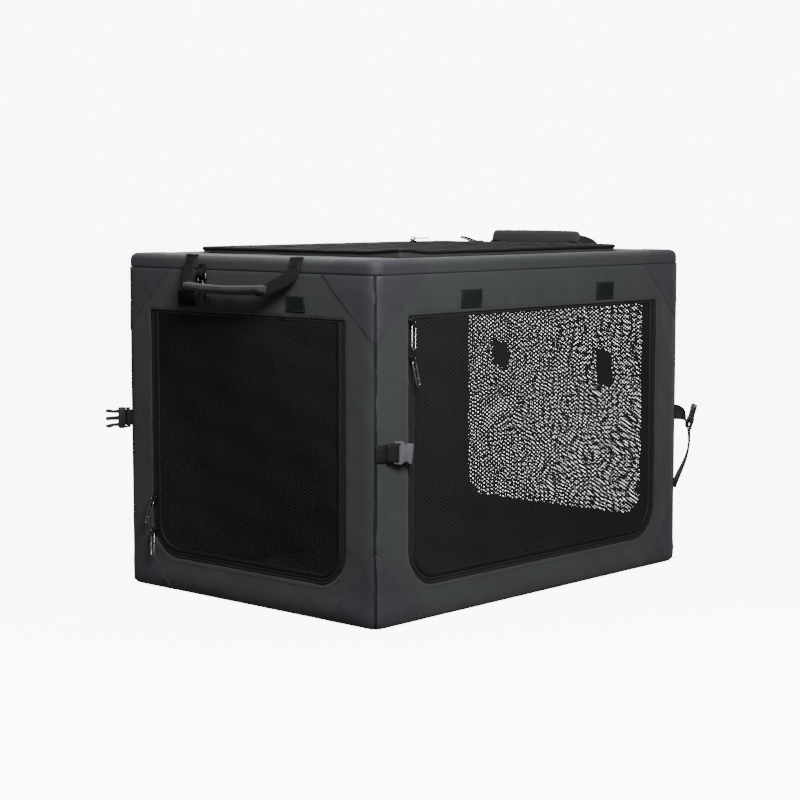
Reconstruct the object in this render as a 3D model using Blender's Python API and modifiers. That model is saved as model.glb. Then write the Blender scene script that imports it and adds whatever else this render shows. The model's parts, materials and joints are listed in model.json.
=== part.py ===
"""Soft folding dog crate: a fabric cover over a steel frame that folds flat.

Frame of reference: metres, +Z up, X along the crate, origin under the middle of the floor.
The front door faces -Y. The left end is at -X and the right end at +X.
"""
import math

import bmesh
import bpy
from mathutils import Matrix, Vector

# Covered crate
CRATE_LENGTH = 0.595
CRATE_WIDTH = 0.430
CRATE_HEIGHT = 0.420
FABRIC = 0.002
FIT_GAP = 0.0003
CORNER_RADIUS = 0.016
ROOF_SKIRT = 0.017
FLOOR_SKIRT = 0.012
CUT_OVERRUN = 0.010

# Steel frame
TUBE_RADIUS = 0.006
RING_BEND = 0.012
POST_WIDTH = 0.012
POST_THICKNESS = 0.008
POST_SIDE_GAP = 0.0006
PIN_RADIUS = 0.0025
PIN_CLEARANCE = 0.0003
PIN_HEAD_RADIUS = 0.004
PIN_HEAD_HEIGHT = 0.001
POST_CLEARANCE = 0.0035

# Pivot brackets
BRACKET_LENGTH = 0.020
EAR_THICKNESS = 0.003
EAR_MARGIN = 0.008
SADDLE_THICKNESS = 0.005
SADDLE_REACH = 0.0022

# Loose floor mat
MAT_INSET_X = 0.030
MAT_INSET_Y = 0.032
MAT_THICKNESS = 0.010
MAT_ROUNDING = 0.004
MAT_CUTS = 7

# Door openings in the walls
FRONT_DOOR_MARGIN = 0.0545
FRONT_DOOR_SILL = 0.042
FRONT_DOOR_HEADER = 0.064
END_DOOR_MARGIN = 0.047
END_DOOR_SILL = 0.043
END_DOOR_HEADER = 0.069
DOOR_CORNER = 0.045
DOOR_TOP_CORNER = 0.003
DOOR_GAP = 0.0005
DOOR_BORDER = 0.014

# Roof door, a raised flap over a smaller opening
ROOF_DOOR_HINGE_MARGIN = 0.0875
ROOF_DOOR_END_MARGIN = 0.0575
ROOF_DOOR_SIDE_MARGIN = 0.043
ROOF_DOOR_RISE = 0.0067
ROOF_DOOR_LAP = 0.006
ROOF_DOOR_RIM = 0.008

# Mesh
NET_THICKNESS = 0.002
NET_PITCH = 0.042
NET_BAR = 0.007

# Zip sliders and their wire pulls
SLIDER_WIDTH = 0.008
SLIDER_LENGTH = 0.011
SLIDER_THICKNESS = 0.0036
SLIDER_ROUNDING = 0.0008
BAIL_WIRE = 0.0008
BAIL_HEIGHT = 0.0045
BAIL_SPAN = 0.007
PULL_WIRE = 0.0008
PULL_WIDTH = 0.0056
PULL_LENGTH = 0.028
FRONT_SLIDER_DROPS = (0.009, 0.050)
LEFT_SLIDER_RISES = (0.069, 0.029)
RIGHT_SLIDER_DROP = 0.051
ROOF_SLIDER_INSET = 0.050
PULL_TILT = math.radians(12)

# End carry handles
HANDLE_SIDE_MARGIN = 0.125
HANDLE_STRAP_WIDTH = 0.020
HANDLE_STRAP_THICKNESS = 0.0022
HANDLE_BAR_RADIUS = 0.0035
GRIP_CLEARANCE = 0.004
GRIP_BROAD = 0.022
GRIP_THIN = 0.010
GRIP_ROUNDING = 0.003
HANDLE_REACH = 0.042
HANDLE_STANDOFF = 0.0023
LEFT_HANDLE_ANGLE = math.radians(27)
RIGHT_HANDLE_ANGLE = math.radians(250)
LEFT_GRIP_TURN = math.radians(12)
RIGHT_GRIP_TURN = math.radians(95)

# Snap hooks on their webbing tabs
TAB_WIDTH = 0.010
TAB_THICKNESS = 0.0016
TAB_LENGTH = 0.012
TAB_LOOP_OUTER = 0.0036
TAB_LOOP_INNER = 0.0021
HOOK_WIRE = 0.0014
HOOK_EYE_WIDTH = 0.014
HOOK_EYE_LENGTH = 0.008
HOOK_BARREL_RADIUS = 0.0026
HOOK_BARREL_LENGTH = 0.005
HOOK_LOOP_WIDTH = 0.011
HOOK_LOOP_LENGTH = 0.022
GATE_RADIUS = 0.0011
LEFT_HOOK_ASIDE = 0.011
LEFT_HOOK_DROP = 0.0225
RIGHT_HOOK_INSET = 0.015
RIGHT_HOOK_ASIDE = 0.022

# Holding straps and their side-release buckles
STRAP_WIDTH = 0.020
STRAP_THICKNESS = 0.0018
STRAP_HEIGHT = 0.203
STRAP_RUN = 0.012
STRAP_LOOP_OUTER = 0.0044
STRAP_LOOP_INNER = 0.0020
BUCKLE_BAR_RADIUS = 0.0014
BUCKLE_WIDTH = 0.027
BUCKLE_ARM = 0.0025
BUCKLE_THICKNESS = 0.008
BUCKLE_NECK = 0.0055
SOCKET_LENGTH = 0.020
SOCKET_WALL = 0.0015
SOCKET_MOUTH = 0.016
WINDOW_LENGTH = 0.006
WINDOW_DEPTH = 0.004
PLUG_BASE = 0.008
PLUG_PRONG = 0.018
PLUG_PRONG_WIDTH = 0.003
PLUG_PRONG_THICKNESS = 0.0035
PLUG_GUIDE_WIDTH = 0.004
LEFT_PLUG_TURN = math.radians(166)
LEFT_PLUG_RISE = 0.010
TWIST_REACH = 0.0195
TWIST_DROP = 0.020
TAIL_DROP = 0.099
TAIL_BULGE = 0.015
PLUG_LEAN = math.radians(14)

# Worked out from the sizes above
HALF_LENGTH = CRATE_LENGTH / 2
HALF_WIDTH = CRATE_WIDTH / 2
EDGE_RADIUS = FABRIC + FIT_GAP + TUBE_RADIUS
TUBE_X = HALF_LENGTH - EDGE_RADIUS
TUBE_Y = HALF_WIDTH - EDGE_RADIUS
LOW_TUBE_Z = EDGE_RADIUS
HIGH_TUBE_Z = CRATE_HEIGHT - EDGE_RADIUS
PIVOT_RISE = TUBE_RADIUS + POST_CLEARANCE + POST_WIDTH / 2
LOW_PIVOT_Z = LOW_TUBE_Z + PIVOT_RISE
HIGH_PIVOT_Z = HIGH_TUBE_Z - PIVOT_RISE
POST_HALF = (HIGH_PIVOT_Z - LOW_PIVOT_Z) / 2
KNEE_Z = LOW_PIVOT_Z + POST_HALF
POST_X = TUBE_X - RING_BEND - BRACKET_LENGTH / 2 - FIT_GAP
LOWER_POST_Y = TUBE_Y
UPPER_POST_Y = LOWER_POST_Y - POST_THICKNESS - POST_SIDE_GAP
WALL_LOW = FLOOR_SKIRT + FIT_GAP
WALL_HIGH = CRATE_HEIGHT - ROOF_SKIRT - FIT_GAP
FRONT_DOOR_HALF = HALF_LENGTH - FRONT_DOOR_MARGIN
FRONT_DOOR_TOP = CRATE_HEIGHT - FRONT_DOOR_HEADER
END_DOOR_HALF = HALF_WIDTH - END_DOOR_MARGIN
END_DOOR_TOP = CRATE_HEIGHT - END_DOOR_HEADER
ROOF_DOOR_LEFT = ROOF_DOOR_HINGE_MARGIN - HALF_LENGTH
ROOF_DOOR_RIGHT = HALF_LENGTH - ROOF_DOOR_END_MARGIN
ROOF_DOOR_HALF = HALF_WIDTH - ROOF_DOOR_SIDE_MARGIN
HANDLE_HALF_SPAN = HALF_WIDTH - HANDLE_SIDE_MARGIN
GRIP_LENGTH = 2 * (HANDLE_HALF_SPAN - HANDLE_STRAP_WIDTH / 2 - GRIP_CLEARANCE)

# Counts and unit shares
ARC_STEPS = 6
ROUND_SIDES = 12
FULL_TURN = math.tau
HALF_TURN = math.pi
QUARTER_TURN = math.pi / 2


def clear_scene():
    """Remove everything that the file holds."""
    for item in list(bpy.data.objects):
        bpy.data.objects.remove(item, do_unlink=True)
    for mesh in list(bpy.data.meshes):
        bpy.data.meshes.remove(mesh)


def make_collection(name):
    collection = bpy.data.collections.new(name)
    bpy.context.scene.collection.children.link(collection)
    return collection


clear_scene()
PARTS = make_collection("soft_dog_crate")
CUTTERS = make_collection("cutters")


def make_material(name, colour, roughness, metallic):
    """A Principled material of one colour."""
    material = bpy.data.materials.new(name)
    material.use_nodes = True
    shader = material.node_tree.nodes["Principled BSDF"]
    shader.inputs["Base Color"].default_value = (*colour, 1.0)
    shader.inputs["Roughness"].default_value = roughness
    shader.inputs["Metallic"].default_value = metallic
    material.diffuse_color = (*colour, 1.0)
    return material


FINISHES = {
    "cover": ((0.036, 0.042, 0.040), 0.85, 0.0),
    "floor": ((0.030, 0.034, 0.033), 0.88, 0.0),
    "mesh": ((0.010, 0.010, 0.011), 0.75, 0.0),
    "webbing": ((0.012, 0.012, 0.013), 0.80, 0.0),
    "grip": ((0.040, 0.047, 0.045), 0.85, 0.0),
    "mat": ((0.055, 0.055, 0.058), 0.95, 0.0),
    "tube": ((0.045, 0.045, 0.048), 0.35, 0.9),
    "bracket": ((0.020, 0.020, 0.022), 0.50, 0.0),
    "zip_metal": ((0.55, 0.55, 0.56), 0.28, 1.0),
    "hook_metal": ((0.12, 0.12, 0.13), 0.30, 1.0),
    "buckle": ((0.030, 0.030, 0.033), 0.38, 0.0),
}


def finish(piece, kind):
    """Give a piece its own material."""
    colour, roughness, metallic = FINISHES[kind]
    material = make_material(piece.name + "_finish", colour, roughness, metallic)
    piece.data.materials.clear()
    piece.data.materials.append(material)


def mesh_object(name, mesh, collection=PARTS):
    piece = bpy.data.objects.new(name, mesh)
    collection.objects.link(piece)
    return piece


def as_guide(mesh, name):
    """A hidden object for a Boolean modifier."""
    guide = mesh_object(name, mesh, CUTTERS)
    guide.hide_render = True
    guide.display_type = "WIRE"
    return guide


def boolean(piece, mesh, operation):
    """Cut a mesh out of a piece or join one to it."""
    guide = as_guide(mesh, piece.name + "_" + operation.lower() + "_guide")
    modifier = piece.modifiers.new(operation.title(), "BOOLEAN")
    modifier.operation = operation
    modifier.object = guide
    modifier.solver = "EXACT"


def set_origin(piece, point):
    """Move a piece's origin to its joint without moving the piece."""
    point = Vector(point)
    piece.data.transform(Matrix.Translation(-point))
    piece.location = point


def smooth(mesh, angle=math.radians(35)):
    mesh.shade_smooth()
    mesh.set_sharp_from_angle(angle=angle)


def box_mesh(low, high, matrix=None):
    """A box from its lowest and highest corners."""
    mesh = bpy.data.meshes.new("box")
    shape = bmesh.new()
    bmesh.ops.create_cube(shape, size=1.0)
    for vert in shape.verts:
        for axis in range(3):
            vert.co[axis] = low[axis] + (vert.co[axis] + 0.5) * (high[axis] - low[axis])
    shape.to_mesh(mesh)
    shape.free()
    if matrix is not None:
        mesh.transform(matrix)
    return mesh


def cylinder_mesh(start, end, radius, sides=ROUND_SIDES):
    """A round pin between two points."""
    start = Vector(start)
    end = Vector(end)
    run = end - start
    turn = run.to_track_quat("Z", "Y").to_matrix().to_4x4()
    mesh = bpy.data.meshes.new("pin")
    shape = bmesh.new()
    bmesh.ops.create_cone(shape, cap_ends=True, segments=sides, radius1=radius,
                          radius2=radius, depth=run.length,
                          matrix=Matrix.Translation((start + end) / 2) @ turn)
    shape.to_mesh(mesh)
    shape.free()
    smooth(mesh)
    return mesh


def bevelled(piece, width, segments=2, angle=math.radians(50)):
    modifier = piece.modifiers.new("Bevel", "BEVEL")
    modifier.width = width
    modifier.segments = segments
    modifier.limit_method = "ANGLE"
    modifier.angle_limit = angle


def mesh_from_curve(curve):
    """The closed mesh of a curve, with its loose caps welded."""
    holder = bpy.data.objects.new("curve", curve)
    bpy.context.scene.collection.objects.link(holder)
    graph = bpy.context.evaluated_depsgraph_get()
    mesh = bpy.data.meshes.new_from_object(holder.evaluated_get(graph))
    bpy.data.objects.remove(holder, do_unlink=True)
    shape = bmesh.new()
    shape.from_mesh(mesh)
    bmesh.ops.remove_doubles(shape, verts=shape.verts, dist=FIT_GAP / 30)
    bmesh.ops.recalc_face_normals(shape, faces=shape.faces)
    shape.to_mesh(mesh)
    shape.free()
    return mesh


def add_spline(curve, points, cyclic):
    spline = curve.splines.new("POLY")
    spline.points.add(len(points[1:]))
    for target, point in zip(spline.points, points):
        place = tuple(point) if len(point) == 3 else (point[0], point[1], 0.0)
        target.co = (*place, 1.0)
    spline.use_cyclic_u = cyclic


def flat_mesh(loops, thickness, matrix=None):
    """A flat outline with holes, extruded to a thickness about its own plane."""
    curve = bpy.data.curves.new("outline", "CURVE")
    curve.dimensions = "2D"
    curve.fill_mode = "BOTH"
    curve.extrude = thickness / 2
    for loop in loops:
        add_spline(curve, loop, True)
    mesh = mesh_from_curve(curve)
    if matrix is not None:
        mesh.transform(matrix)
    return mesh


def tube_mesh(points, radius, cyclic=False, resolution=1):
    """A round wire or tube along points."""
    curve = bpy.data.curves.new("wire", "CURVE")
    curve.dimensions = "3D"
    curve.bevel_depth = radius
    curve.bevel_resolution = resolution
    curve.use_fill_caps = True
    add_spline(curve, points, cyclic)
    mesh = mesh_from_curve(curve)
    smooth(mesh)
    return mesh


def strap_piece(name, points, across, width, thickness):
    """A strap along points; each point has its own direction across the strap."""
    shape = bmesh.new()
    rows = []
    for point, side in zip(points, across):
        side = Vector(side).normalized() * width / 2
        rows.append([shape.verts.new(Vector(point) + side), shape.verts.new(Vector(point) - side)])
    for first, second in zip(rows, rows[1:]):
        shape.faces.new((first[0], first[1], second[1], second[0]))
    mesh = bpy.data.meshes.new(name)
    shape.to_mesh(mesh)
    shape.free()
    piece = mesh_object(name, mesh)
    modifier = piece.modifiers.new("Solidify", "SOLIDIFY")
    modifier.thickness = thickness
    modifier.offset = 0.0
    return piece


def arc(centre, radius, start, end, steps=ARC_STEPS):
    """Points along an arc in the outline's own plane, both ends included."""
    points = []
    for step in range(steps + 1):
        angle = start + (end - start) * step / steps
        points.append((centre[0] + radius * math.cos(angle), centre[1] + radius * math.sin(angle)))
    return points


def round_hole(centre, radius, sides=ROUND_SIDES):
    return arc(centre, radius, 0.0, FULL_TURN, sides)[:-1]


def rounded_outline(low, high, radii, steps=ARC_STEPS):
    """A rectangle with its own radius at each corner, from low-left anticlockwise."""
    corners = [
        ((low[0] + radii[0], low[1] + radii[0]), HALF_TURN),
        ((high[0] - radii[1], low[1] + radii[1]), HALF_TURN + QUARTER_TURN),
        ((high[0] - radii[2], high[1] - radii[2]), 0.0),
        ((low[0] + radii[3], high[1] - radii[3]), QUARTER_TURN),
    ]
    points = []
    for (centre, start), radius in zip(corners, radii):
        points += arc(centre, radius, start, start + QUARTER_TURN, steps)
    return points


def facing(normal_axis, sign, level):
    """The matrix that stands a flat outline up, its first axis level and its second axis up."""
    if normal_axis == "Y":
        columns = ((1, 0, 0), (0, 0, 1), (0, -1, 0))
        shift = Vector((0.0, level, 0.0))
    else:
        columns = ((0, -sign, 0), (0, 0, 1), (-sign, 0, 0))
        shift = Vector((level, 0.0, 0.0))
    turn = Matrix(columns).transposed().to_4x4()
    return Matrix.Translation(shift) @ turn


def tray(name, sign, rim_z, end_z):
    """A shallow fabric tray; its closed side is at end_z and its open rim at rim_z."""
    outline = rounded_outline((-HALF_LENGTH, -HALF_WIDTH), (HALF_LENGTH, HALF_WIDTH),
                              (CORNER_RADIUS,) * 4)
    shape = bmesh.new()
    end = shape.faces.new([shape.verts.new((x, y, end_z)) for x, y in outline[::sign]])
    grown = bmesh.ops.extrude_edge_only(shape, edges=end.edges[:])["geom"]
    rim = [item for item in grown if isinstance(item, bmesh.types.BMVert)]
    bmesh.ops.translate(shape, verts=rim, vec=(0.0, 0.0, rim_z - end_z))
    bmesh.ops.recalc_face_normals(shape, faces=shape.faces)
    if end.normal.z * sign < 0.0:
        bmesh.ops.reverse_faces(shape, faces=shape.faces)
    mesh = bpy.data.meshes.new(name)
    shape.to_mesh(mesh)
    shape.free()
    piece = mesh_object(name, mesh)
    bevelled(piece, EDGE_RADIUS, segments=4)
    modifier = piece.modifiers.new("Solidify", "SOLIDIFY")
    modifier.thickness = FABRIC
    modifier.offset = -1.0
    modifier.use_even_offset = True
    finish(piece, "cover")
    return piece


def long_wall(name, side):
    """The front or back wall, which wraps round both upright corners."""
    outer = []
    inner = []
    for end in (-1, 1):
        centre = (end * (HALF_LENGTH - CORNER_RADIUS), side * (HALF_WIDTH - CORNER_RADIUS))
        start = HALF_TURN if end < 0 else side * QUARTER_TURN
        finish_angle = HALF_TURN - side * QUARTER_TURN if end < 0 else 0.0
        if end < 0 and side < 0:
            finish_angle = HALF_TURN + QUARTER_TURN
        outer += arc(centre, CORNER_RADIUS, start, finish_angle)
        inner += arc(centre, CORNER_RADIUS - FABRIC, start, finish_angle)
    middle = Matrix.Translation((0.0, 0.0, (WALL_LOW + WALL_HIGH) / 2))
    mesh = flat_mesh([outer + inner[::-1]], WALL_HIGH - WALL_LOW, middle)
    smooth(mesh)
    piece = mesh_object(name, mesh)
    finish(piece, "cover")
    return piece


def door_outline(door_half, sill, top, shrink=0.0):
    """A door opening: nearly square top corners and round bottom corners."""
    half = door_half - shrink
    radius = DOOR_CORNER - shrink
    top_radius = DOOR_TOP_CORNER - shrink
    return rounded_outline((-half, sill + shrink), (half, top - shrink),
                           (radius, radius, top_radius, top_radius))


def end_wall(name, sign):
    """A flat end wall with its door opening."""
    half = HALF_WIDTH - CORNER_RADIUS - FIT_GAP
    outline = [(-half, WALL_LOW), (half, WALL_LOW), (half, WALL_HIGH), (-half, WALL_HIGH)]
    opening = door_outline(END_DOOR_HALF, END_DOOR_SILL, END_DOOR_TOP)
    level = sign * (HALF_LENGTH - FABRIC / 2)
    piece = mesh_object(name, flat_mesh([outline, opening], FABRIC, facing("X", sign, level)))
    finish(piece, "cover")
    return piece


def inside_outline(point, low, high, radius):
    """Whether a point lies in a rectangle whose corners are all rounded."""
    corner_x = max(low[0] + radius - point[0], point[0] - high[0] + radius, 0.0)
    corner_y = max(low[1] + radius - point[1], point[1] - high[1] + radius, 0.0)
    return math.hypot(corner_x, corner_y) <= radius + FIT_GAP


def net_gaps(low, high, radius):
    """Six-sided gaps in staggered rows, kept clear of the border and of its round corners."""
    gaps = []
    gap_radius = (NET_PITCH - NET_BAR) / 2 / math.cos(math.radians(30))
    row_step = NET_PITCH * math.cos(math.radians(30))
    rows = int((high[1] - low[1] + FIT_GAP) / row_step)
    columns = int((high[0] - low[0]) / NET_PITCH) + 1
    middle = ((low[0] + high[0]) / 2, (low[1] + high[1]) / 2)
    for row in range(rows):
        shift = NET_PITCH / 2 * (row % 2)
        for column in range(columns + 1):
            centre = (middle[0] + (column - columns / 2) * NET_PITCH + shift,
                      middle[1] + (row - (rows - 1) / 2) * row_step)
            gap = [(centre[0] + gap_radius * math.sin(turn * math.radians(60)),
                    centre[1] + gap_radius * math.cos(turn * math.radians(60))) for turn in range(6)]
            if all(inside_outline(point, low, high, radius) for point in gap):
                gaps.append(gap)
    return gaps


def net_door(name, door_half, sill, top, matrix, hinge):
    """A mesh door leaf that fills its opening but for the zip's gap."""
    outline = door_outline(door_half, sill, top, DOOR_GAP)
    half = door_half - DOOR_BORDER
    gaps = net_gaps((-half, sill + DOOR_BORDER), (half, top - DOOR_BORDER), DOOR_CORNER - DOOR_BORDER)
    piece = mesh_object(name, flat_mesh([outline] + gaps, NET_THICKNESS, matrix))
    set_origin(piece, hinge)
    finish(piece, "mesh")
    return piece


def cover():
    """Floor, walls and roof."""
    floor = tray("floor_panel", -1, FLOOR_SKIRT, 0.0)
    finish(floor, "floor")
    front = long_wall("front_wall", -1)
    opening = door_outline(FRONT_DOOR_HALF, FRONT_DOOR_SILL, FRONT_DOOR_TOP)
    cutter = flat_mesh([opening], FABRIC + CUT_OVERRUN, facing("Y", -1, -HALF_WIDTH))
    boolean(front, cutter, "DIFFERENCE")
    long_wall("back_wall", 1)
    end_wall("left_wall", -1)
    end_wall("right_wall", 1)
    roof = tray("roof_panel", 1, CRATE_HEIGHT - ROOF_SKIRT, CRATE_HEIGHT)
    hole = roof_outline(ROOF_DOOR_LAP)
    cutter = flat_mesh([hole], FABRIC + CUT_OVERRUN, Matrix.Translation((0.0, 0.0, CRATE_HEIGHT)))
    boolean(roof, cutter, "DIFFERENCE")


def roof_outline(shrink):
    """The roof door's outline, square at its hinge and round at its free corners."""
    radius = DOOR_CORNER - shrink
    small = DOOR_TOP_CORNER
    return rounded_outline((ROOF_DOOR_LEFT + shrink, -ROOF_DOOR_HALF + shrink),
                           (ROOF_DOOR_RIGHT - shrink, ROOF_DOOR_HALF - shrink),
                           (small, radius, radius, small))


def doors():
    """Four mesh doors, each with its origin on its hinge line."""
    net_door("front_door", FRONT_DOOR_HALF, FRONT_DOOR_SILL, FRONT_DOOR_TOP,
             facing("Y", -1, -HALF_WIDTH + FABRIC / 2),
             (0.0, -HALF_WIDTH, FRONT_DOOR_TOP - DOOR_GAP / 2))
    for name, sign in (("left_end_door", -1), ("right_end_door", 1)):
        net_door(name, END_DOOR_HALF, END_DOOR_SILL, END_DOOR_TOP,
                 facing("X", sign, sign * (HALF_LENGTH - FABRIC / 2)),
                 (sign * HALF_LENGTH, 0.0, END_DOOR_TOP - DOOR_GAP / 2))
    low_z = CRATE_HEIGHT + FIT_GAP
    high_z = CRATE_HEIGHT + ROOF_DOOR_RISE
    inset = DOOR_BORDER
    gaps = net_gaps((ROOF_DOOR_LEFT + inset, -ROOF_DOOR_HALF + inset),
                    (ROOF_DOOR_RIGHT - inset, ROOF_DOOR_HALF - inset), DOOR_CORNER - inset)
    sheet = flat_mesh([roof_outline(FIT_GAP)] + gaps, NET_THICKNESS,
                      Matrix.Translation((0.0, 0.0, high_z - NET_THICKNESS / 2)))
    piece = mesh_object("roof_door", sheet)
    rim_top = high_z - NET_THICKNESS / 2
    rim = flat_mesh([roof_outline(0.0), roof_outline(ROOF_DOOR_RIM)], rim_top - low_z,
                    Matrix.Translation((0.0, 0.0, (rim_top + low_z) / 2)))
    boolean(piece, rim, "UNION")
    set_origin(piece, (ROOF_DOOR_LEFT, 0.0, high_z))
    finish(piece, "mesh")


def ring(name, height):
    """A bent tube ring in the floor or the roof."""
    outline = rounded_outline((-TUBE_X, -TUBE_Y), (TUBE_X, TUBE_Y), (RING_BEND,) * 4, steps=4)
    points = [(x, y, height) for x, y in outline]
    piece = mesh_object(name, tube_mesh(points, TUBE_RADIUS, cyclic=True, resolution=2))
    finish(piece, "tube")


def bracket(name, end, side, upper):
    """A moulded saddle on the ring with an ear and a pin for the post's pivot."""
    tube_z = HIGH_TUBE_Z if upper else LOW_TUBE_Z
    pivot_z = HIGH_PIVOT_Z if upper else LOW_PIVOT_Z
    away = -1 if upper else 1
    low_x = end * POST_X - BRACKET_LENGTH / 2
    high_x = end * POST_X + BRACKET_LENGTH / 2
    ear_y = LOWER_POST_Y - POST_THICKNESS / 2 - FIT_GAP

    def slab(near_y, far_y, near_z, far_z):
        ys = sorted((side * near_y, side * far_y))
        zs = sorted((near_z, far_z))
        return box_mesh((low_x, ys[0], zs[0]), (high_x, ys[1], zs[1]))

    if upper:
        near, far = ear_y, ear_y + EAR_THICKNESS
        saddle = slab(ear_y, TUBE_Y + TUBE_RADIUS - FIT_GAP,
                      tube_z + away * (TUBE_RADIUS + SADDLE_THICKNESS), tube_z + away * SADDLE_REACH)
        pin_end = UPPER_POST_Y - POST_THICKNESS / 2
        pin_start = (near + far) / 2
    else:
        near, far = ear_y - EAR_THICKNESS, ear_y
        saddle = slab(TUBE_Y - TUBE_RADIUS - SADDLE_THICKNESS, TUBE_Y - SADDLE_REACH,
                      FABRIC + FIT_GAP, tube_z + TUBE_RADIUS)
        pin_end = LOWER_POST_Y + POST_THICKNESS / 2
        pin_start = (near + far) / 2
    ear = slab(near, far, tube_z + away * SADDLE_REACH, pivot_z + away * EAR_MARGIN)
    piece = mesh_object(name, saddle)
    boolean(piece, ear, "UNION")
    bore = cylinder_mesh((low_x - CUT_OVERRUN, side * TUBE_Y, tube_z),
                         (high_x + CUT_OVERRUN, side * TUBE_Y, tube_z),
                         TUBE_RADIUS + FIT_GAP, sides=2 * ROUND_SIDES)
    boolean(piece, bore, "DIFFERENCE")
    pin = cylinder_mesh((end * POST_X, side * pin_start, pivot_z),
                        (end * POST_X, side * pin_end, pivot_z), PIN_RADIUS)
    boolean(piece, pin, "UNION")
    finish(piece, "bracket")


def post(name, end, side, upper):
    """Half of a corner post: a flat-sided tube with a hole at each pivot."""
    low_z = KNEE_Z if upper else LOW_PIVOT_Z
    high_z = HIGH_PIVOT_Z if upper else KNEE_Z
    x = end * POST_X
    radius = POST_WIDTH / 2
    outline = arc((x, high_z), radius, 0.0, HALF_TURN) + arc((x, low_z), radius, HALF_TURN, FULL_TURN)
    hole = PIN_RADIUS + PIN_CLEARANCE
    loops = [outline, round_hole((x, low_z), hole)]
    if upper:
        loops.append(round_hole((x, high_z), hole))
    level = side * (UPPER_POST_Y if upper else LOWER_POST_Y)
    mesh = flat_mesh(loops, POST_THICKNESS, facing("Y", -1, level))
    smooth(mesh)
    piece = mesh_object(name, mesh)
    if not upper:
        shank_end = UPPER_POST_Y - POST_THICKNESS / 2 - PIN_CLEARANCE
        shank = cylinder_mesh((x, level, KNEE_Z), (x, side * (shank_end - PIN_HEAD_HEIGHT), KNEE_Z), PIN_RADIUS)
        boolean(piece, shank, "UNION")
        head = cylinder_mesh((x, side * shank_end, KNEE_Z), (x, side * (shank_end - PIN_HEAD_HEIGHT), KNEE_Z),
                             PIN_HEAD_RADIUS)
        boolean(piece, head, "UNION")
    set_origin(piece, (x, level, low_z))
    finish(piece, "tube")


def frame():
    """Two rings, eight brackets and four knee-jointed corner posts."""
    ring("base_ring", LOW_TUBE_Z)
    ring("top_ring", HIGH_TUBE_Z)
    for end_name, end in (("left", -1), ("right", 1)):
        for side_name, side in (("front", -1), ("back", 1)):
            corner = side_name + "_" + end_name
            bracket("base_bracket_" + corner, end, side, False)
            bracket("top_bracket_" + corner, end, side, True)
            post("lower_post_" + corner, end, side, False)
            post("upper_post_" + corner, end, side, True)


def floor_mat():
    """The loose padded mat, a little crowned, with drawn-in sides."""
    half_x = HALF_LENGTH - MAT_INSET_X
    half_y = HALF_WIDTH - MAT_INSET_Y
    low_z = FABRIC + FIT_GAP
    mesh = box_mesh((-half_x, -half_y, low_z), (half_x, half_y, low_z + MAT_THICKNESS))
    shape = bmesh.new()
    shape.from_mesh(mesh)
    flat_edges = [edge for edge in shape.edges if abs(edge.verts[0].co.z - edge.verts[1].co.z) < FIT_GAP]
    bmesh.ops.subdivide_edges(shape, edges=flat_edges, cuts=MAT_CUTS, use_grid_fill=True)
    for vert in shape.verts:
        share_x = vert.co.x / half_x
        share_y = vert.co.y / half_y
        thinning = MAT_ROUNDING / MAT_THICKNESS * max(share_x ** 4, share_y ** 4)
        vert.co.z -= (vert.co.z - low_z) * thinning
        vert.co.x -= share_x * MAT_ROUNDING * (1 - share_y ** 2)
        vert.co.y -= share_y * MAT_ROUNDING * (1 - share_x ** 2)
    shape.to_mesh(mesh)
    shape.free()
    smooth(mesh)
    piece = mesh_object("floor_mat", mesh)
    finish(piece, "mat")


def slider_and_pull(prefix, place, along, out, lean):
    """A zip slider with its bail, and a wire pull through the bail.

    place is on the zip at the cover's face, along points to where the pull hangs,
    out points away from the face, and lean turns the pull away from the face.
    """
    along = Vector(along)
    out = Vector(out)
    across = along.cross(out)
    frame_matrix = Matrix((across, along, out)).transposed().to_4x4()
    frame_matrix = Matrix.Translation(Vector(place) + out * FIT_GAP) @ frame_matrix
    slider_name = prefix + "_slider"
    body = box_mesh((-SLIDER_WIDTH / 2, -SLIDER_LENGTH / 2, 0.0),
                    (SLIDER_WIDTH / 2, SLIDER_LENGTH / 2, SLIDER_THICKNESS), frame_matrix)
    piece = mesh_object(slider_name, body)
    bevelled(piece, SLIDER_ROUNDING, segments=1)
    half_span = BAIL_SPAN / 2
    seat = SLIDER_THICKNESS / 2
    crown = SLIDER_THICKNESS + BAIL_HEIGHT - BAIL_WIRE
    bail = [(0.0, -half_span, seat), (0.0, -half_span, crown - BAIL_HEIGHT / 3),
            (0.0, -half_span + BAIL_HEIGHT / 3, crown), (0.0, half_span - BAIL_HEIGHT / 3, crown),
            (0.0, half_span, crown - BAIL_HEIGHT / 3), (0.0, half_span, seat)]
    bail_mesh = tube_mesh(bail, BAIL_WIRE)
    bail_mesh.transform(frame_matrix)
    boolean(piece, bail_mesh, "UNION")
    set_origin(piece, place)
    finish(piece, "zip_metal")
    hinge_out = crown - 2 * BAIL_WIRE - PULL_WIRE - FIT_GAP
    hinge_local = Vector((0.0, half_span - BAIL_WIRE - PULL_WIRE - FIT_GAP, hinge_out))
    half = PULL_WIDTH / 2
    outline = rounded_outline((-half, 0.0), (half, PULL_LENGTH), (half / 2,) * 4, steps=2)
    points = [(x, y, 0.0) for x, y in outline]
    pull_mesh = tube_mesh(points, PULL_WIRE, cyclic=True)
    pull_mesh.transform(Matrix.Rotation(lean, 4, "X"))
    pull_mesh.transform(frame_matrix @ Matrix.Translation(hinge_local))
    pull = mesh_object(prefix + "_pull", pull_mesh)
    set_origin(pull, frame_matrix @ hinge_local)
    finish(pull, "zip_metal")
    return frame_matrix @ hinge_local


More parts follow.
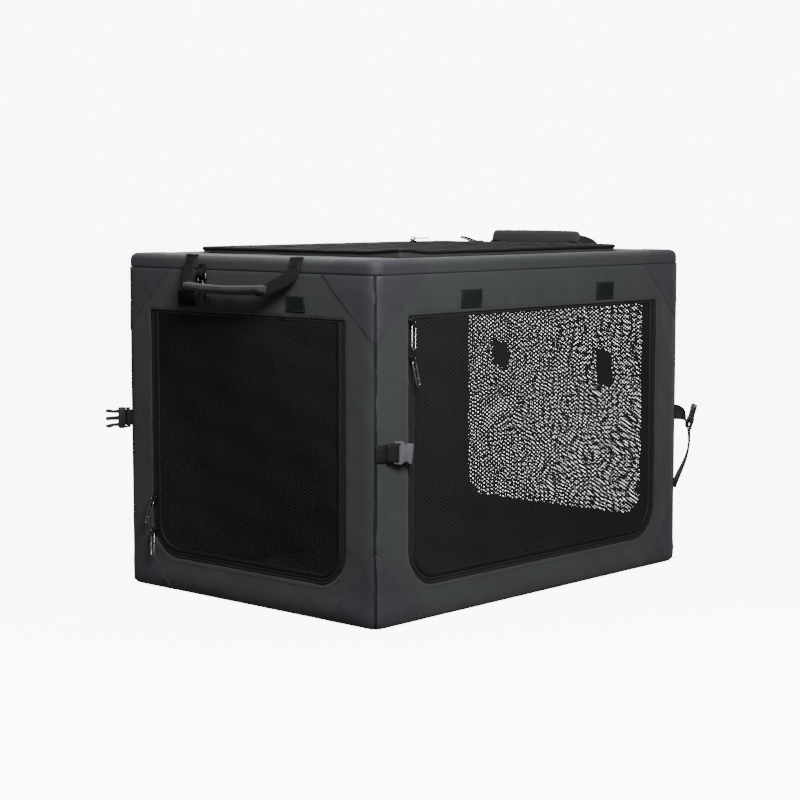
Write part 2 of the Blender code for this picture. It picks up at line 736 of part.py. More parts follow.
def zips():
    """Sliders and pulls on the four doors."""
    down = (0.0, 0.0, -1.0)
    front_line = SLIDER_WIDTH / 2 - FRONT_DOOR_HALF
    for label, drop in zip(("upper", "lower"), FRONT_SLIDER_DROPS):
        slider_and_pull("front_" + label, (front_line, -HALF_WIDTH, FRONT_DOOR_TOP - drop),
                        down, (0.0, -1.0, 0.0), PULL_TILT)
    end_line = END_DOOR_HALF - SLIDER_WIDTH / 2
    for label, rise in zip(("upper", "lower"), LEFT_SLIDER_RISES):
        slider_and_pull("left_" + label, (-HALF_LENGTH, end_line, END_DOOR_SILL + rise),
                        down, (-1.0, 0.0, 0.0), PULL_TILT)
    slider_and_pull("right_end", (HALF_LENGTH, -end_line, END_DOOR_TOP - RIGHT_SLIDER_DROP),
                    down, (1.0, 0.0, 0.0), PULL_TILT)
    roof_line = ROOF_DOOR_HALF - SLIDER_WIDTH / 2
    roof_place = (ROOF_DOOR_RIGHT - ROOF_SLIDER_INSET, roof_line, CRATE_HEIGHT + ROOF_DOOR_RISE)
    slider_and_pull("roof", roof_place, (1.0, 0.0, 0.0), (0.0, 0.0, 1.0), 0.0)


def handle(prefix, out, angle, grip_turn):
    """A carry handle: two flat straps, the bar that they form, and a wrapped grip.

    It swings on a hem that is sewn along the round edge of the roof. The angle is
    measured from straight down through outwards, and grip_turn turns the grip's broad side.
    """
    reach = HANDLE_REACH
    diagonal = (EDGE_RADIUS + HANDLE_STANDOFF) * math.sqrt(0.5)
    root = Vector((out * (TUBE_X + diagonal), 0.0, HIGH_TUBE_Z + diagonal))
    down = Vector((out * math.sin(angle), 0.0, -math.cos(angle)))
    across = Vector((0.0, 1.0, 0.0))
    normal = down.cross(across)
    matrix = Matrix.Translation(root) @ Matrix((down, across, normal)).transposed().to_4x4()
    half_strap = HANDLE_STRAP_WIDTH / 2
    tabs = [box_mesh((0.0, side * HANDLE_HALF_SPAN - half_strap, -HANDLE_STRAP_THICKNESS / 2),
                     (reach, side * HANDLE_HALF_SPAN + half_strap, HANDLE_STRAP_THICKNESS / 2), matrix)
            for side in (-1, 1)]
    bar_end = HANDLE_HALF_SPAN + half_strap - FIT_GAP
    bar = cylinder_mesh(matrix @ Vector((reach, -bar_end, 0.0)), matrix @ Vector((reach, bar_end, 0.0)),
                        HANDLE_BAR_RADIUS)
    strap = mesh_object(prefix + "_handle_strap", bar)
    for side, tab in zip((-1, 1), tabs):
        boolean(strap, tab, "UNION")
        ends = [root + across * (side * HANDLE_HALF_SPAN + turn * (half_strap + FIT_GAP)) for turn in (-1, 1)]
        hem = cylinder_mesh(ends[0], ends[1], HANDLE_STANDOFF - FIT_GAP)
        boolean(strap, hem, "UNION")
    set_origin(strap, root)
    finish(strap, "webbing")
    centre = matrix @ Vector((reach, 0.0, 0.0))
    turn = Matrix.Translation(centre) @ Matrix.Rotation(grip_turn, 4, "Y")
    sleeve = box_mesh((-GRIP_BROAD / 2, -GRIP_LENGTH / 2, -GRIP_THIN / 2),
                      (GRIP_BROAD / 2, GRIP_LENGTH / 2, GRIP_THIN / 2), turn)
    grip = mesh_object(prefix + "_handle_grip", sleeve)
    bevelled(grip, GRIP_ROUNDING, segments=3)
    bore_end = GRIP_LENGTH / 2 + CUT_OVERRUN
    bore = cylinder_mesh(centre - across * bore_end, centre + across * bore_end,
                         HANDLE_BAR_RADIUS + 2 * FIT_GAP)
    boolean(grip, bore, "DIFFERENCE")
    set_origin(grip, root)
    finish(grip, "grip")


def handles():
    handle("left", -1, LEFT_HANDLE_ANGLE, LEFT_GRIP_TURN)
    handle("right", 1, RIGHT_HANDLE_ANGLE, RIGHT_GRIP_TURN)


def snap_hook(prefix, matrix):
    """A webbing tab, a snap hook on it, and the hook's gate.

    The matrix has the hook's width as its X axis, its hanging direction as its Y axis
    and the way off the cover as its Z axis, with its origin on the eye's bar. Tab and
    hook swing together about the tab's sewn end.
    """
    def placed(mesh):
        mesh.transform(matrix)
        return mesh

    seat = -TAB_LOOP_OUTER
    outer = arc((0.0, 0.0), TAB_LOOP_OUTER, -QUARTER_TURN, HALF_TURN, 9)
    strip = outer + [(-TAB_LOOP_OUTER, 0.0), (-TAB_LENGTH, seat + TAB_THICKNESS), (-TAB_LENGTH, seat)]
    stand = Matrix(((0, 1, 0), (0, 0, 1), (1, 0, 0))).transposed().to_4x4()
    tab_mesh = flat_mesh([strip, round_hole((0.0, 0.0), TAB_LOOP_INNER)], TAB_WIDTH, stand)
    tab = mesh_object(prefix + "_hook_tab", placed(tab_mesh))
    root = matrix @ Vector((0.0, -TAB_LENGTH, 0.0))
    set_origin(tab, root)
    finish(tab, "webbing")
    half_eye = HOOK_EYE_WIDTH / 2
    eye = rounded_outline((-half_eye, 0.0), (half_eye, HOOK_EYE_LENGTH), (HOOK_WIRE,) * 4, steps=1)
    hook = mesh_object(prefix + "_hook", placed(tube_mesh([(x, y, 0.0) for x, y in eye], HOOK_WIRE, cyclic=True)))
    barrel_end = HOOK_EYE_LENGTH + HOOK_BARREL_LENGTH
    barrel = cylinder_mesh((0.0, HOOK_EYE_LENGTH - HOOK_WIRE / 2, 0.0), (0.0, barrel_end, 0.0), HOOK_BARREL_RADIUS,
                           sides=10)
    boolean(hook, placed(barrel), "UNION")
    half_loop = HOOK_LOOP_WIDTH / 2
    far = barrel_end + HOOK_LOOP_LENGTH
    root_y = barrel_end - HOOK_WIRE / 2
    gate_low = barrel_end + HOOK_LOOP_LENGTH / 4
    gate_high = far - half_loop
    bend = [(x, y, 0.0) for x, y in arc((0.0, gate_high), half_loop, 0.0, HALF_TURN)]
    path = ([(0.0, root_y, 0.0), (half_loop, gate_low, 0.0)] + bend)
    boolean(hook, placed(tube_mesh(path, HOOK_WIRE)), "UNION")
    heel = [(0.0, root_y, 0.0), (-half_loop, gate_low - HOOK_WIRE, 0.0), (-half_loop, gate_low, 0.0)]
    boolean(hook, placed(tube_mesh(heel, HOOK_WIRE)), "UNION")
    set_origin(hook, root)
    finish(hook, "hook_metal")
    gate_start = Vector((-half_loop, gate_low + FIT_GAP, 0.0))
    gate_end = Vector((-half_loop, gate_high - HOOK_WIRE - FIT_GAP, 0.0))
    gate = mesh_object(prefix + "_hook_gate", placed(cylinder_mesh(gate_start, gate_end, GATE_RADIUS, sides=8)))
    gate_pivot = gate_start + Vector((0.0, 2 * GATE_RADIUS, 0.0))
    set_origin(gate, matrix @ gate_pivot)
    finish(gate, "zip_metal")


def snap_hooks():
    left = Matrix(((0, 1, 0), (0, 0, -1), (-1, 0, 0))).transposed().to_4x4()
    inner_edge = HANDLE_HALF_SPAN - HANDLE_STRAP_WIDTH / 2
    place = Vector((-HALF_LENGTH - TAB_LOOP_OUTER - FIT_GAP, inner_edge - LEFT_HOOK_ASIDE,
                    CRATE_HEIGHT - LEFT_HOOK_DROP))
    snap_hook("left", Matrix.Translation(place) @ left)
    right = Matrix(((1, 0, 0), (0, 1, 0), (0, 0, 1))).transposed().to_4x4()
    outer_edge = HANDLE_HALF_SPAN + HANDLE_STRAP_WIDTH / 2
    place = Vector((HALF_LENGTH - RIGHT_HOOK_INSET, outer_edge + RIGHT_HOOK_ASIDE,
                    CRATE_HEIGHT + TAB_LOOP_OUTER + FIT_GAP))
    snap_hook("right", Matrix.Translation(place) @ right)


def looped_strap(name, start, direction):
    """A short strap with an eye at its far end, its width upright.

    Its first stretch follows the round corner of the cover when start is an angle
    on that corner, and its run then goes straight along direction.
    """
    corner, angle_from, angle_to = start
    centre = Vector((corner[0] * (HALF_LENGTH - CORNER_RADIUS), corner[1] * (HALF_WIDTH - CORNER_RADIUS), 0.0))
    inner = CORNER_RADIUS + FIT_GAP
    outer = inner + STRAP_THICKNESS
    direction = Vector((direction[0], direction[1], 0.0)).normalized()
    aside = Vector((math.cos(angle_to), math.sin(angle_to), 0.0))
    bend_end = centre + aside * (inner + STRAP_THICKNESS / 2)
    eye = bend_end + direction * STRAP_RUN + aside * (STRAP_LOOP_OUTER - STRAP_THICKNESS / 2)
    near_side = arc(centre, outer, angle_from, angle_to)
    far_side = arc(centre, inner, angle_to, angle_from)
    heading = math.atan2(direction.y, direction.x)
    turn = 1 if direction.cross(aside).z > 0 else -1
    wrap = arc(eye, STRAP_LOOP_OUTER, heading + turn * HALF_TURN, heading - turn * QUARTER_TURN, 9)
    outline = near_side + wrap + far_side
    loops = [outline, round_hole(eye, STRAP_LOOP_INNER)]
    mesh = flat_mesh(loops, STRAP_WIDTH, Matrix.Translation((0.0, 0.0, STRAP_HEIGHT)))
    piece = mesh_object(name, mesh)
    finish(piece, "webbing")
    return eye + Vector((0.0, 0.0, STRAP_HEIGHT))


def buckle_arms(name, matrix):
    """The bar that the strap loops round and the two arms that hold it."""
    half = BUCKLE_WIDTH / 2
    bar = cylinder_mesh((0.0, -half + BUCKLE_ARM / 2, 0.0), (0.0, half - BUCKLE_ARM / 2, 0.0), BUCKLE_BAR_RADIUS)
    bar.transform(matrix)
    piece = mesh_object(name, bar)
    for side in (-1, 1):
        ends = sorted((side * half, side * (half - BUCKLE_ARM)))
        arm = box_mesh((-2 * BUCKLE_BAR_RADIUS, ends[0], -BUCKLE_BAR_RADIUS - SOCKET_WALL / 2),
                       (BUCKLE_NECK + BUCKLE_ARM, ends[1], BUCKLE_BAR_RADIUS + SOCKET_WALL / 2), matrix)
        boolean(piece, arm, "UNION")
    return piece


def socket(name, matrix):
    """The female half: a flat box with a mouth and two side windows."""
    piece = buckle_arms(name, matrix)
    half = BUCKLE_WIDTH / 2
    thick = BUCKLE_THICKNESS / 2
    end = BUCKLE_NECK + SOCKET_LENGTH
    boolean(piece, box_mesh((BUCKLE_NECK, -half, -thick), (end, half, thick), matrix), "UNION")
    mouth = box_mesh((end - SOCKET_MOUTH, -half + 2 * SOCKET_WALL, -thick + SOCKET_WALL),
                     (end + CUT_OVERRUN, half - 2 * SOCKET_WALL, thick - SOCKET_WALL), matrix)
    boolean(piece, mouth, "DIFFERENCE")
    for side in (-1, 1):
        ends = sorted((side * (half - WINDOW_DEPTH), side * (half + CUT_OVERRUN)))
        window = box_mesh((BUCKLE_NECK + WINDOW_LENGTH, ends[0], -thick - CUT_OVERRUN),
                          (BUCKLE_NECK + 2 * WINDOW_LENGTH, ends[1], thick + CUT_OVERRUN), matrix)
        boolean(piece, window, "DIFFERENCE")
    set_origin(piece, matrix @ Vector((0.0, 0.0, 0.0)))
    finish(piece, "buckle")


def plug(name, matrix):
    """The male half: a base, a centre guide and two sprung prongs."""
    piece = buckle_arms(name, matrix)
    half = BUCKLE_WIDTH / 2
    base_end = BUCKLE_NECK + PLUG_BASE
    thick = BUCKLE_THICKNESS / 2 - SOCKET_WALL
    boolean(piece, box_mesh((BUCKLE_NECK, -half, -thick), (base_end, half, thick), matrix), "UNION")
    tip = base_end + PLUG_PRONG
    prong_out = half - 2 * SOCKET_WALL - FIT_GAP
    spans = [(-PLUG_GUIDE_WIDTH / 2, PLUG_GUIDE_WIDTH / 2), (prong_out - PLUG_PRONG_WIDTH, prong_out),
             (-prong_out, -prong_out + PLUG_PRONG_WIDTH)]
    for low, high in spans:
        finger = box_mesh((base_end - BUCKLE_ARM, low, -PLUG_PRONG_THICKNESS / 2),
                          (tip, high, PLUG_PRONG_THICKNESS / 2), matrix)
        boolean(piece, finger, "UNION")
    set_origin(piece, matrix @ Vector((0.0, 0.0, 0.0)))
    finish(piece, "buckle")


def buckle_matrix(origin, along, wide):
    """Columns: along the buckle, across its width, through its thickness."""
    along = Vector(along).normalized()
    wide = Vector(wide).normalized()
    columns = (along, wide, along.cross(wide))
    return Matrix.Translation(origin) @ Matrix(columns).transposed().to_4x4()


def holding_straps():
    """Four straps sewn into the upright edges, with two sockets and two plugs."""
    up = (0.0, 0.0, 1.0)
    eye = looped_strap("strap_front_left", ((-1, -1), HALF_TURN + QUARTER_TURN / 2, HALF_TURN + QUARTER_TURN),
                       (1.0, 0.0))
    socket("buckle_socket_front_left", buckle_matrix(eye, (1.0, 0.0, 0.0), up))
    eye = looped_strap("strap_back_right", ((1, 1), QUARTER_TURN / 2, QUARTER_TURN), (-1.0, 0.0))
    socket("buckle_socket_back_right", buckle_matrix(eye, (-1.0, 0.0, 0.0), up))
    heading = (math.cos(LEFT_PLUG_TURN), math.sin(LEFT_PLUG_TURN), 0.0)
    eye = outward_strap("strap_back_left", (-1, 1), heading)
    plug("buckle_plug_back_left", buckle_matrix(eye, heading, up))
    twisted_strap("strap_front_right", (1, -1))


def outward_strap(name, corner, heading):
    """A strap that stands out of a corner, its width upright, with an eye at its end."""
    heading = Vector(heading)
    diagonal = Vector((corner[0], corner[1], 0.0)).normalized()
    centre = Vector((corner[0] * (HALF_LENGTH - CORNER_RADIUS), corner[1] * (HALF_WIDTH - CORNER_RADIUS), 0.0))
    reach = CORNER_RADIUS + FIT_GAP
    root = centre + diagonal * reach
    eye = root + heading * (STRAP_LOOP_OUTER + STRAP_THICKNESS)
    turn = math.atan2(heading.y, heading.x)
    half_gap = math.asin(STRAP_THICKNESS / 2 / STRAP_LOOP_OUTER)
    wrap = arc(eye, STRAP_LOOP_OUTER, turn + HALF_TURN + half_gap, turn + 3 * HALF_TURN - half_gap, ROUND_SIDES)
    corner_turn = math.atan2(corner[1], corner[0])
    half_foot = STRAP_THICKNESS / 2 / reach
    outline = arc(centre, reach, corner_turn - half_foot, corner_turn + half_foot, 1) + wrap
    loops = [outline, round_hole(eye, STRAP_LOOP_INNER)]
    height = Vector((0.0, 0.0, STRAP_HEIGHT + LEFT_PLUG_RISE))
    piece = mesh_object(name, flat_mesh(loops, STRAP_WIDTH, Matrix.Translation(height)))
    finish(piece, "webbing")
    return eye + height


def twisted_strap(name, corner):
    """A strap that turns from upright to level on its way to its plug, and the plug's long tail."""
    diagonal = Vector((corner[0], corner[1], 0.0)).normalized()
    level = Vector((-diagonal.y, diagonal.x, 0.0))
    up = Vector((0.0, 0.0, 1.0))
    centre = Vector((corner[0] * (HALF_LENGTH - CORNER_RADIUS), corner[1] * (HALF_WIDTH - CORNER_RADIUS), 0.0))
    root = centre + diagonal * (CORNER_RADIUS + FIT_GAP + STRAP_THICKNESS / 2) + up * STRAP_HEIGHT
    bar = root + diagonal * TWIST_REACH - up * TWIST_DROP
    seat = BUCKLE_BAR_RADIUS + STRAP_THICKNESS / 2 + FIT_GAP
    points = []
    across = []
    steps = 8
    for step in range(steps + 1):
        share = step / steps
        out = TWIST_REACH * math.sin(share * QUARTER_TURN) - seat * share
        fall = TWIST_DROP * (1 - math.cos(share * QUARTER_TURN))
        points.append(root + diagonal * out - up * fall)
        turn = share * QUARTER_TURN
        across.append(up * math.cos(turn) + level * math.sin(turn))
    strap = strap_piece(name, points, across, STRAP_WIDTH, STRAP_THICKNESS)
    finish(strap, "webbing")
    lean = up * math.cos(PLUG_LEAN) + diagonal * math.sin(PLUG_LEAN)
    plug("buckle_plug_front_right", buckle_matrix(bar, lean, level))
    tail_points = []
    for step in range(steps + 1):
        share = step / steps
        bulge = TAIL_BULGE * math.sin(share * HALF_TURN)
        out = TWIST_REACH * (1 - share) ** 2 + bulge * (1 - share / 2)
        tail_points.append(root + diagonal * out - up * (TWIST_DROP + seat + (TAIL_DROP - TWIST_DROP) * share))
    tail = strap_piece("strap_tail", tail_points, [level] * len(tail_points), STRAP_WIDTH, STRAP_THICKNESS)
    finish(tail, "webbing")


frame()
cover()
floor_mat()
doors()
zips()
handles()
snap_hooks()
holding_straps()
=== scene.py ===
import json
import math

import bmesh
import bpy
import numpy as np
from mathutils import Matrix, Vector, geometry, noise

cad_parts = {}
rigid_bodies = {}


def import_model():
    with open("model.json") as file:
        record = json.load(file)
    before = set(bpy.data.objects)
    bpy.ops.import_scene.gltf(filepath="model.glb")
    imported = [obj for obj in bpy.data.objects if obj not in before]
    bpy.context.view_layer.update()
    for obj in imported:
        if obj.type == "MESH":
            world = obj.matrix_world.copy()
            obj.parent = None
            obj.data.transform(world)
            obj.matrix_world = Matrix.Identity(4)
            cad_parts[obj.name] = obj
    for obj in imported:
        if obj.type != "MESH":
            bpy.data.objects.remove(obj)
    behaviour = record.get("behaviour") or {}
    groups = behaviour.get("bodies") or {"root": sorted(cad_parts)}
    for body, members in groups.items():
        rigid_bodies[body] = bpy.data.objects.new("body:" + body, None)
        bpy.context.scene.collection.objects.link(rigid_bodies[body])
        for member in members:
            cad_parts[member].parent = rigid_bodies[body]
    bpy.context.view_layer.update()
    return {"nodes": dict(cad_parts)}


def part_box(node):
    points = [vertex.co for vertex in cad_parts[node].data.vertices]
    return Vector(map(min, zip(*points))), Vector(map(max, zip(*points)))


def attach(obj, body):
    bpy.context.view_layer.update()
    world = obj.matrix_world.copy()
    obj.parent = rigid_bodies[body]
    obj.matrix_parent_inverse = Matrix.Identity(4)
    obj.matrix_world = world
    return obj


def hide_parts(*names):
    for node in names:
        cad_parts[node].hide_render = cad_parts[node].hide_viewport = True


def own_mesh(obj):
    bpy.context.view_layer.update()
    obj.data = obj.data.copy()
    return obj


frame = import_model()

# The CAD's sizes, in metres
HALF_L = 0.2975
HALF_W = 0.215
HEIGHT = 0.420
FABRIC = 0.002
CORNER = 0.016
EDGE = 0.0083
ROOF_SKIRT = 0.017
FLOOR_SKIRT = 0.012
WALL_LOW = 0.0010
WALL_HIGH = 0.4027
FRONT_DOOR = (0.243, 0.042, 0.356)
END_DOOR = (0.168, 0.043, 0.351)
DOOR_CORNER = 0.045
ROOF_DOOR = (-0.210, 0.240, 0.172, 0.4267)
STRAP_WIDTH = 0.020
STRAP = 0.0018
STRAP_Z = 0.203

# Sizes that only the looks have
ZIP_LINE = 0.0040
ZIP_DEPTH = 0.0014
NET_DEPTH = 0.0012
PATCH_REACH = 0.0865
PATCH_LENGTH = 0.085
PATCH_TOP = 0.0795
PATCH_FOOT = 0.090
PATCH_RISE = 0.0006
SQUARE_RISE = 0.0013
SEAM_SLOPE = 0.0006
ROLL_SHARES = (0.0, 0.35, 1.0)
SMALL_CORNER = 0.003
LEAST_CORNER = 0.0008
PITCH = 0.008
HANDLE_FOOT = 0.090
GRIP_WIDE = 0.0103
GRIP_THIN = 0.0047
GRIP_LAP = 0.0011
HOOK_WIRE = 0.0014
STITCH_STEP = 0.0033
STITCH_SHARE = 0.72
QUILT = 0.105

UP = (0.0, 0.0, 1.0)
DOWN = (0.0, 0.0, -1.0)
SIDES = (-1, 1)
QUARTER = math.pi / 2


# Materials
def fill(node, values):
    """Sets a node's inputs. A value that is a socket is linked."""
    for key, value in values.items():
        if isinstance(value, bpy.types.NodeSocket):
            node.id_data.links.new(value, node.inputs[key])
        else:
            node.inputs[key].default_value = value
    return node


def material(name, colour, roughness, weave=None, pitch=0.0009, grain=900.0, vary=0.12, patch=14.0, bump=0.25,
             bump_size=0.0004, rough_vary=0.08, metallic=0.0, sheen=0.0, coat=0.0, specular=0.5):
    """A procedural material. A weave reads UV coordinates in metres, and pitch is its repeat."""
    made = bpy.data.materials.new(name)
    made.use_nodes = True
    tree = made.node_tree

    def add(kind, values, **settings):
        item = tree.nodes.new("ShaderNode" + kind)
        for key, value in settings.items():
            setattr(item, key, value)
        return fill(item, values)

    def number(operation, *values):
        return add("Math", dict(enumerate(values)), operation=operation).outputs[0]

    coords = add("TexCoord", {}).outputs
    large, fine = [add("TexNoise", {"Scale": scale, "Detail": detail, "Vector": coords["Object"]}).outputs[0]
                   for scale, detail in ((patch, 4.0), (grain, 3.0))]
    mixed = number("ADD", number("MULTIPLY", large, 0.65), number("MULTIPLY", fine, 0.35))
    height = fine
    if weave:
        split = add("SeparateXYZ", {0: coords["UV"]}).outputs
        turns = math.tau / pitch
        across = number("MULTIPLY", split[0], turns)
        along = number("MULTIPLY", split[1], turns)
        if weave == "plain":
            threads = number("MULTIPLY", number("SINE", across), number("SINE", along))
        elif weave == "twill":
            threads = number("SINE", number("ADD", across, along))
        elif weave == "chevron":
            fold = number("PINGPONG", split[1], 0.0034)
            threads = number("SINE", number("ADD", across, number("MULTIPLY", fold, turns)))
        else:
            threads = number("SINE", across)
        height = number("ADD", number("MULTIPLY", threads, 0.45), number("MULTIPLY", fine, 0.6))
        mixed = number("ADD", mixed, number("MULTIPLY", threads, 0.05))
    dark, light = [(*(min(1.0, c * (1.0 + way * 2.2 * vary)) for c in colour), 1.0) for way in SIDES]
    shade = add("MixRGB", {"Color1": dark, "Color2": light, "Fac": mixed})
    relief = add("Bump", {"Strength": bump, "Distance": bump_size, "Height": height})
    rough = number("ADD", number("MULTIPLY", mixed, rough_vary * 2), roughness - rough_vary)
    fill(tree.nodes["Principled BSDF"], {
        "Metallic": metallic, "Sheen Weight": sheen, "Sheen Roughness": 0.5, "Coat Weight": coat,
        "Coat Roughness": 0.3, "Specular IOR Level": specular, "Base Color": shade.outputs[0],
        "Roughness": rough, "Normal": relief.outputs[0]})
    return made


COVER = material("cover_fabric", (0.0182, 0.0226, 0.0213), 0.74, "plain", vary=0.17, bump=0.35, sheen=0.12)
PATCH = material("patch_fabric", (0.0205, 0.0188, 0.0275), 0.66, "plain", vary=0.10, bump=0.35, sheen=0.10)
LINING = material("roof_fabric", (0.0200, 0.0232, 0.0228), 0.70, "plain", vary=0.10, bump=0.35, sheen=0.12)
BASE_CLOTH = material("floor_fabric", (0.0120, 0.0130, 0.0125), 0.80, "plain", 0.0012, bump=0.4)
HOOK_LOOP = material("hook_and_loop", (0.0075, 0.0100, 0.0105), 0.95, grain=1500.0, vary=0.25, bump=0.8,
                     bump_size=0.0006, specular=0.2)
NET = material("door_net", (0.0145, 0.0138, 0.0158), 0.70, grain=1200.0, vary=0.15, bump=0.1, specular=0.15)
WEBBING = material("webbing", (0.0052, 0.0055, 0.0056), 0.70, "chevron", 0.0016, vary=0.15, bump=0.4,
                   sheen=0.02, specular=0.25)
TAPE = material("zip_tape", (0.0072, 0.0075, 0.0080), 0.58, "ribs", 0.0012, bump=0.5, sheen=0.03,
                specular=0.3)
PIPING = material("piping", (0.0055, 0.0055, 0.0063), 0.60, "twill", 0.0011, bump=0.4, specular=0.3)
THREAD = material("thread", (0.030, 0.033, 0.032), 0.55, grain=3000.0, vary=0.15, bump=0.3)
GRIP = material("grip_fabric", (0.0125, 0.0142, 0.0138), 0.70, "twill", 0.0012, bump=0.5, sheen=0.15)
MAT_CLOTH = material("mat_fleece", (0.0085, 0.0082, 0.0095), 0.95, grain=500.0, vary=0.25, bump=0.9,
                     bump_size=0.0012, sheen=0.10)
TUBE = material("coated_tube", (0.012, 0.012, 0.013), 0.38, grain=700.0, vary=0.10, bump=0.08, coat=0.3)
MOULDED = material("moulded_black", (0.014, 0.014, 0.015), 0.48, grain=1300.0, vary=0.10, bump=0.20)
BUCKLE = material("buckle_plastic", (0.013, 0.013, 0.014), 0.40, grain=1500.0, vary=0.10, bump=0.18,
                  coat=0.15)
# The black buckle plastic again, made paler: a painted highlight for the light that falls on the front buckle
BUCKLE_PAINTED_HIGHLIGHT = material("buckle_plastic_painted_highlight", (0.102, 0.098, 0.117), 0.34, grain=1500.0, vary=0.10, bump=0.15,
                       coat=0.25)
CHROME = material("bright_metal", (0.36, 0.36, 0.37), 0.24, grain=260.0, vary=0.10, patch=60.0, bump=0.05,
                  rough_vary=0.10, metallic=1.0)
GUNMETAL = material("dark_metal", (0.085, 0.085, 0.092), 0.30, grain=260.0, vary=0.15, patch=60.0, bump=0.06,
                    rough_vary=0.10, metallic=1.0)


# Meshes and objects
def build_mesh(name, verts, faces, uvs=None, indices=None):
    mesh = bpy.data.meshes.new(name)
    mesh.from_pydata([tuple(v) for v in verts], [], faces)
    if uvs is not None:
        corners = np.empty(len(mesh.loops), int)
        mesh.loops.foreach_get("vertex_index", corners)
        mesh.uv_layers.new(name="UVMap").data.foreach_set("uv", np.asarray(uvs, float)[corners].ravel())
    if indices is not None:
        mesh.polygons.foreach_set("material_index", indices)
    mesh.update()
    return mesh


def new_object(name, mesh, *materials):
    made = bpy.data.objects.new(name, mesh)
    bpy.context.scene.collection.objects.link(made)
    for item in materials:
        made.data.materials.append(item)
    return made


def bake(made):
    """Applies the object's modifiers to its mesh."""
    graph = bpy.context.evaluated_depsgraph_get()
    mesh = bpy.data.meshes.new_from_object(made.evaluated_get(graph))
    made.modifiers.clear()
    made.data = mesh
    return made


def smooth(made, angle):
    made.data.shade_smooth()
    made.data.set_sharp_from_angle(angle=math.radians(angle))
    return made


def thicken(made, offset):
    """Gives a sheet the fabric's thickness."""
    solid = made.modifiers.new("thickness", "SOLIDIFY")
    solid.thickness = FABRIC
    solid.offset = offset
    return smooth(bake(made), 75.0)


def join(name, pieces):
    """Several meshes as one object."""
    for item in bpy.context.view_layer.objects:
        item.select_set(item in pieces)
    bpy.context.view_layer.objects.active = pieces[0]
    bpy.ops.object.join()
    pieces[0].name = name
    return pieces[0]


def settle(made, body, replaces=(), fold=True):
    """Puts a piece on its body and hides the parts it replaces. With fold, the piece gets a mesh of its own.
    """
    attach(made, body)
    if replaces:
        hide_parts(*replaces)
    if fold:
        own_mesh(made)


def loft(count, size, closed=False, flip=False):
    """Faces between rings of vertices, with a cap at each end unless the run of rings is closed."""
    faces = []
    for i in range(count if closed else count - 1):
        a, b = i * size, (i + 1) % count * size
        faces += [(a + k, a + (k + 1) % size, b + (k + 1) % size, b + k) for k in range(size)]
    if not closed:
        faces += [tuple(range(size))[::-1], tuple(range((count - 1) * size, count * size))]
    return [face[:1] + face[:0:-1] for face in faces] if flip else faces


class Pile:
    """Vertices and faces of many small shapes that make one piece."""

    def __init__(self):
        self.verts = []
        self.faces = []
        self.uvs = []

    def add(self, verts, faces, uvs=None):
        first = len(self.verts)
        self.verts += verts
        self.faces += [tuple(first + i for i in face) for face in faces]
        self.uvs += uvs or [(v[0], v[2]) for v in verts]

    def build(self, name, *materials, angle=50.0):
        return smooth(new_object(name, build_mesh(name, self.verts, self.faces, self.uvs), *materials), angle)


# Outlines and paths
def mm(*points):
    """Points that are given in millimetres, in metres."""
    return [tuple(value * 0.001 for value in point) for point in points]


def bar(first, last, low, high):
    """The section of a flat strip, in millimetres across and off the surface."""
    return mm((first, low), (first, high), (last, high), (last, low))


def oval(wide, high, middle):
    """The section of a cord."""
    turns = [i / 12 * math.tau for i in range(12)]
    return [(wide * math.cos(a), middle + high * math.sin(a)) for a in turns]


def clamp(value):
    return min(1.0, max(0.0, value))


def noise_at(x, y, size, seed):
    return noise.noise(Vector((x / size, y / size, seed)))


def arc(centre, radius, start, end, steps=10):
    return [(centre[0] + radius * math.cos(start + (end - start) * i / steps),
             centre[1] + radius * math.sin(start + (end - start) * i / steps)) for i in range(steps + 1)]


def rounded(low, high, radii, steps, first=0):
    """A rectangle, anticlockwise from its lower left corner or a later one, with a radius for each corner."""
    points = []
    for turn in range(first, first + 4):
        corner = turn % 4
        radius = radii[corner]
        x = high[0] - radius if corner in (1, 2) else low[0] + radius
        y = high[1] - radius if corner > 1 else low[1] + radius
        points += arc((x, y), radius, math.pi + turn * QUARTER, math.pi + (turn + 1) * QUARTER, steps[corner])
    return points


def door_loop(door, shrink=0.0):
    """A wall door's outline, with round bottom corners."""
    half, sill, top = door
    big, small = DOOR_CORNER - shrink, max(SMALL_CORNER - shrink, LEAST_CORNER)
    return rounded((-half + shrink, sill + shrink), (half - shrink, top - shrink), (big, big, small, small),
                   (10, 10, 3, 3))


def roof_loop(shrink, steps=10):
    """The roof door's outline in plan, with round corners at its free end."""
    left, right, half, _ = ROOF_DOOR
    big, small = DOOR_CORNER - shrink, max(SMALL_CORNER - shrink, LEAST_CORNER)
    return rounded((left + shrink, -half + shrink), (right - shrink, half - shrink), (small, big, big, small),
                   (3, steps, steps, 3))


def anticlockwise(loop):
    area = sum(a[0] * b[1] - b[0] * a[1] for a, b in zip(loop, loop[1:] + loop[:1]))
    return loop if area > 0 else loop[::-1]


def offset_loop(points, inward):
    """A closed anticlockwise loop moved inwards by a distance."""
    moved = []
    for i, (x, y) in enumerate(points):
        (px, py), (nx, ny) = points[i - 1], points[(i + 1) % len(points)]
        first, second = Vector((x - px, y - py)), Vector((nx - x, ny - y))
        if min(first.length, second.length) < 1e-9:
            moved.append((x, y))
            continue
        first.normalize()
        second.normalize()
        normal = Vector((-first.y - second.y, first.x + second.x)).normalized()
        lean = max(0.35, normal.dot(Vector((-first.y, first.x))))
        moved.append((x + normal.x * inward / lean, y + normal.y * inward / lean))
    return moved


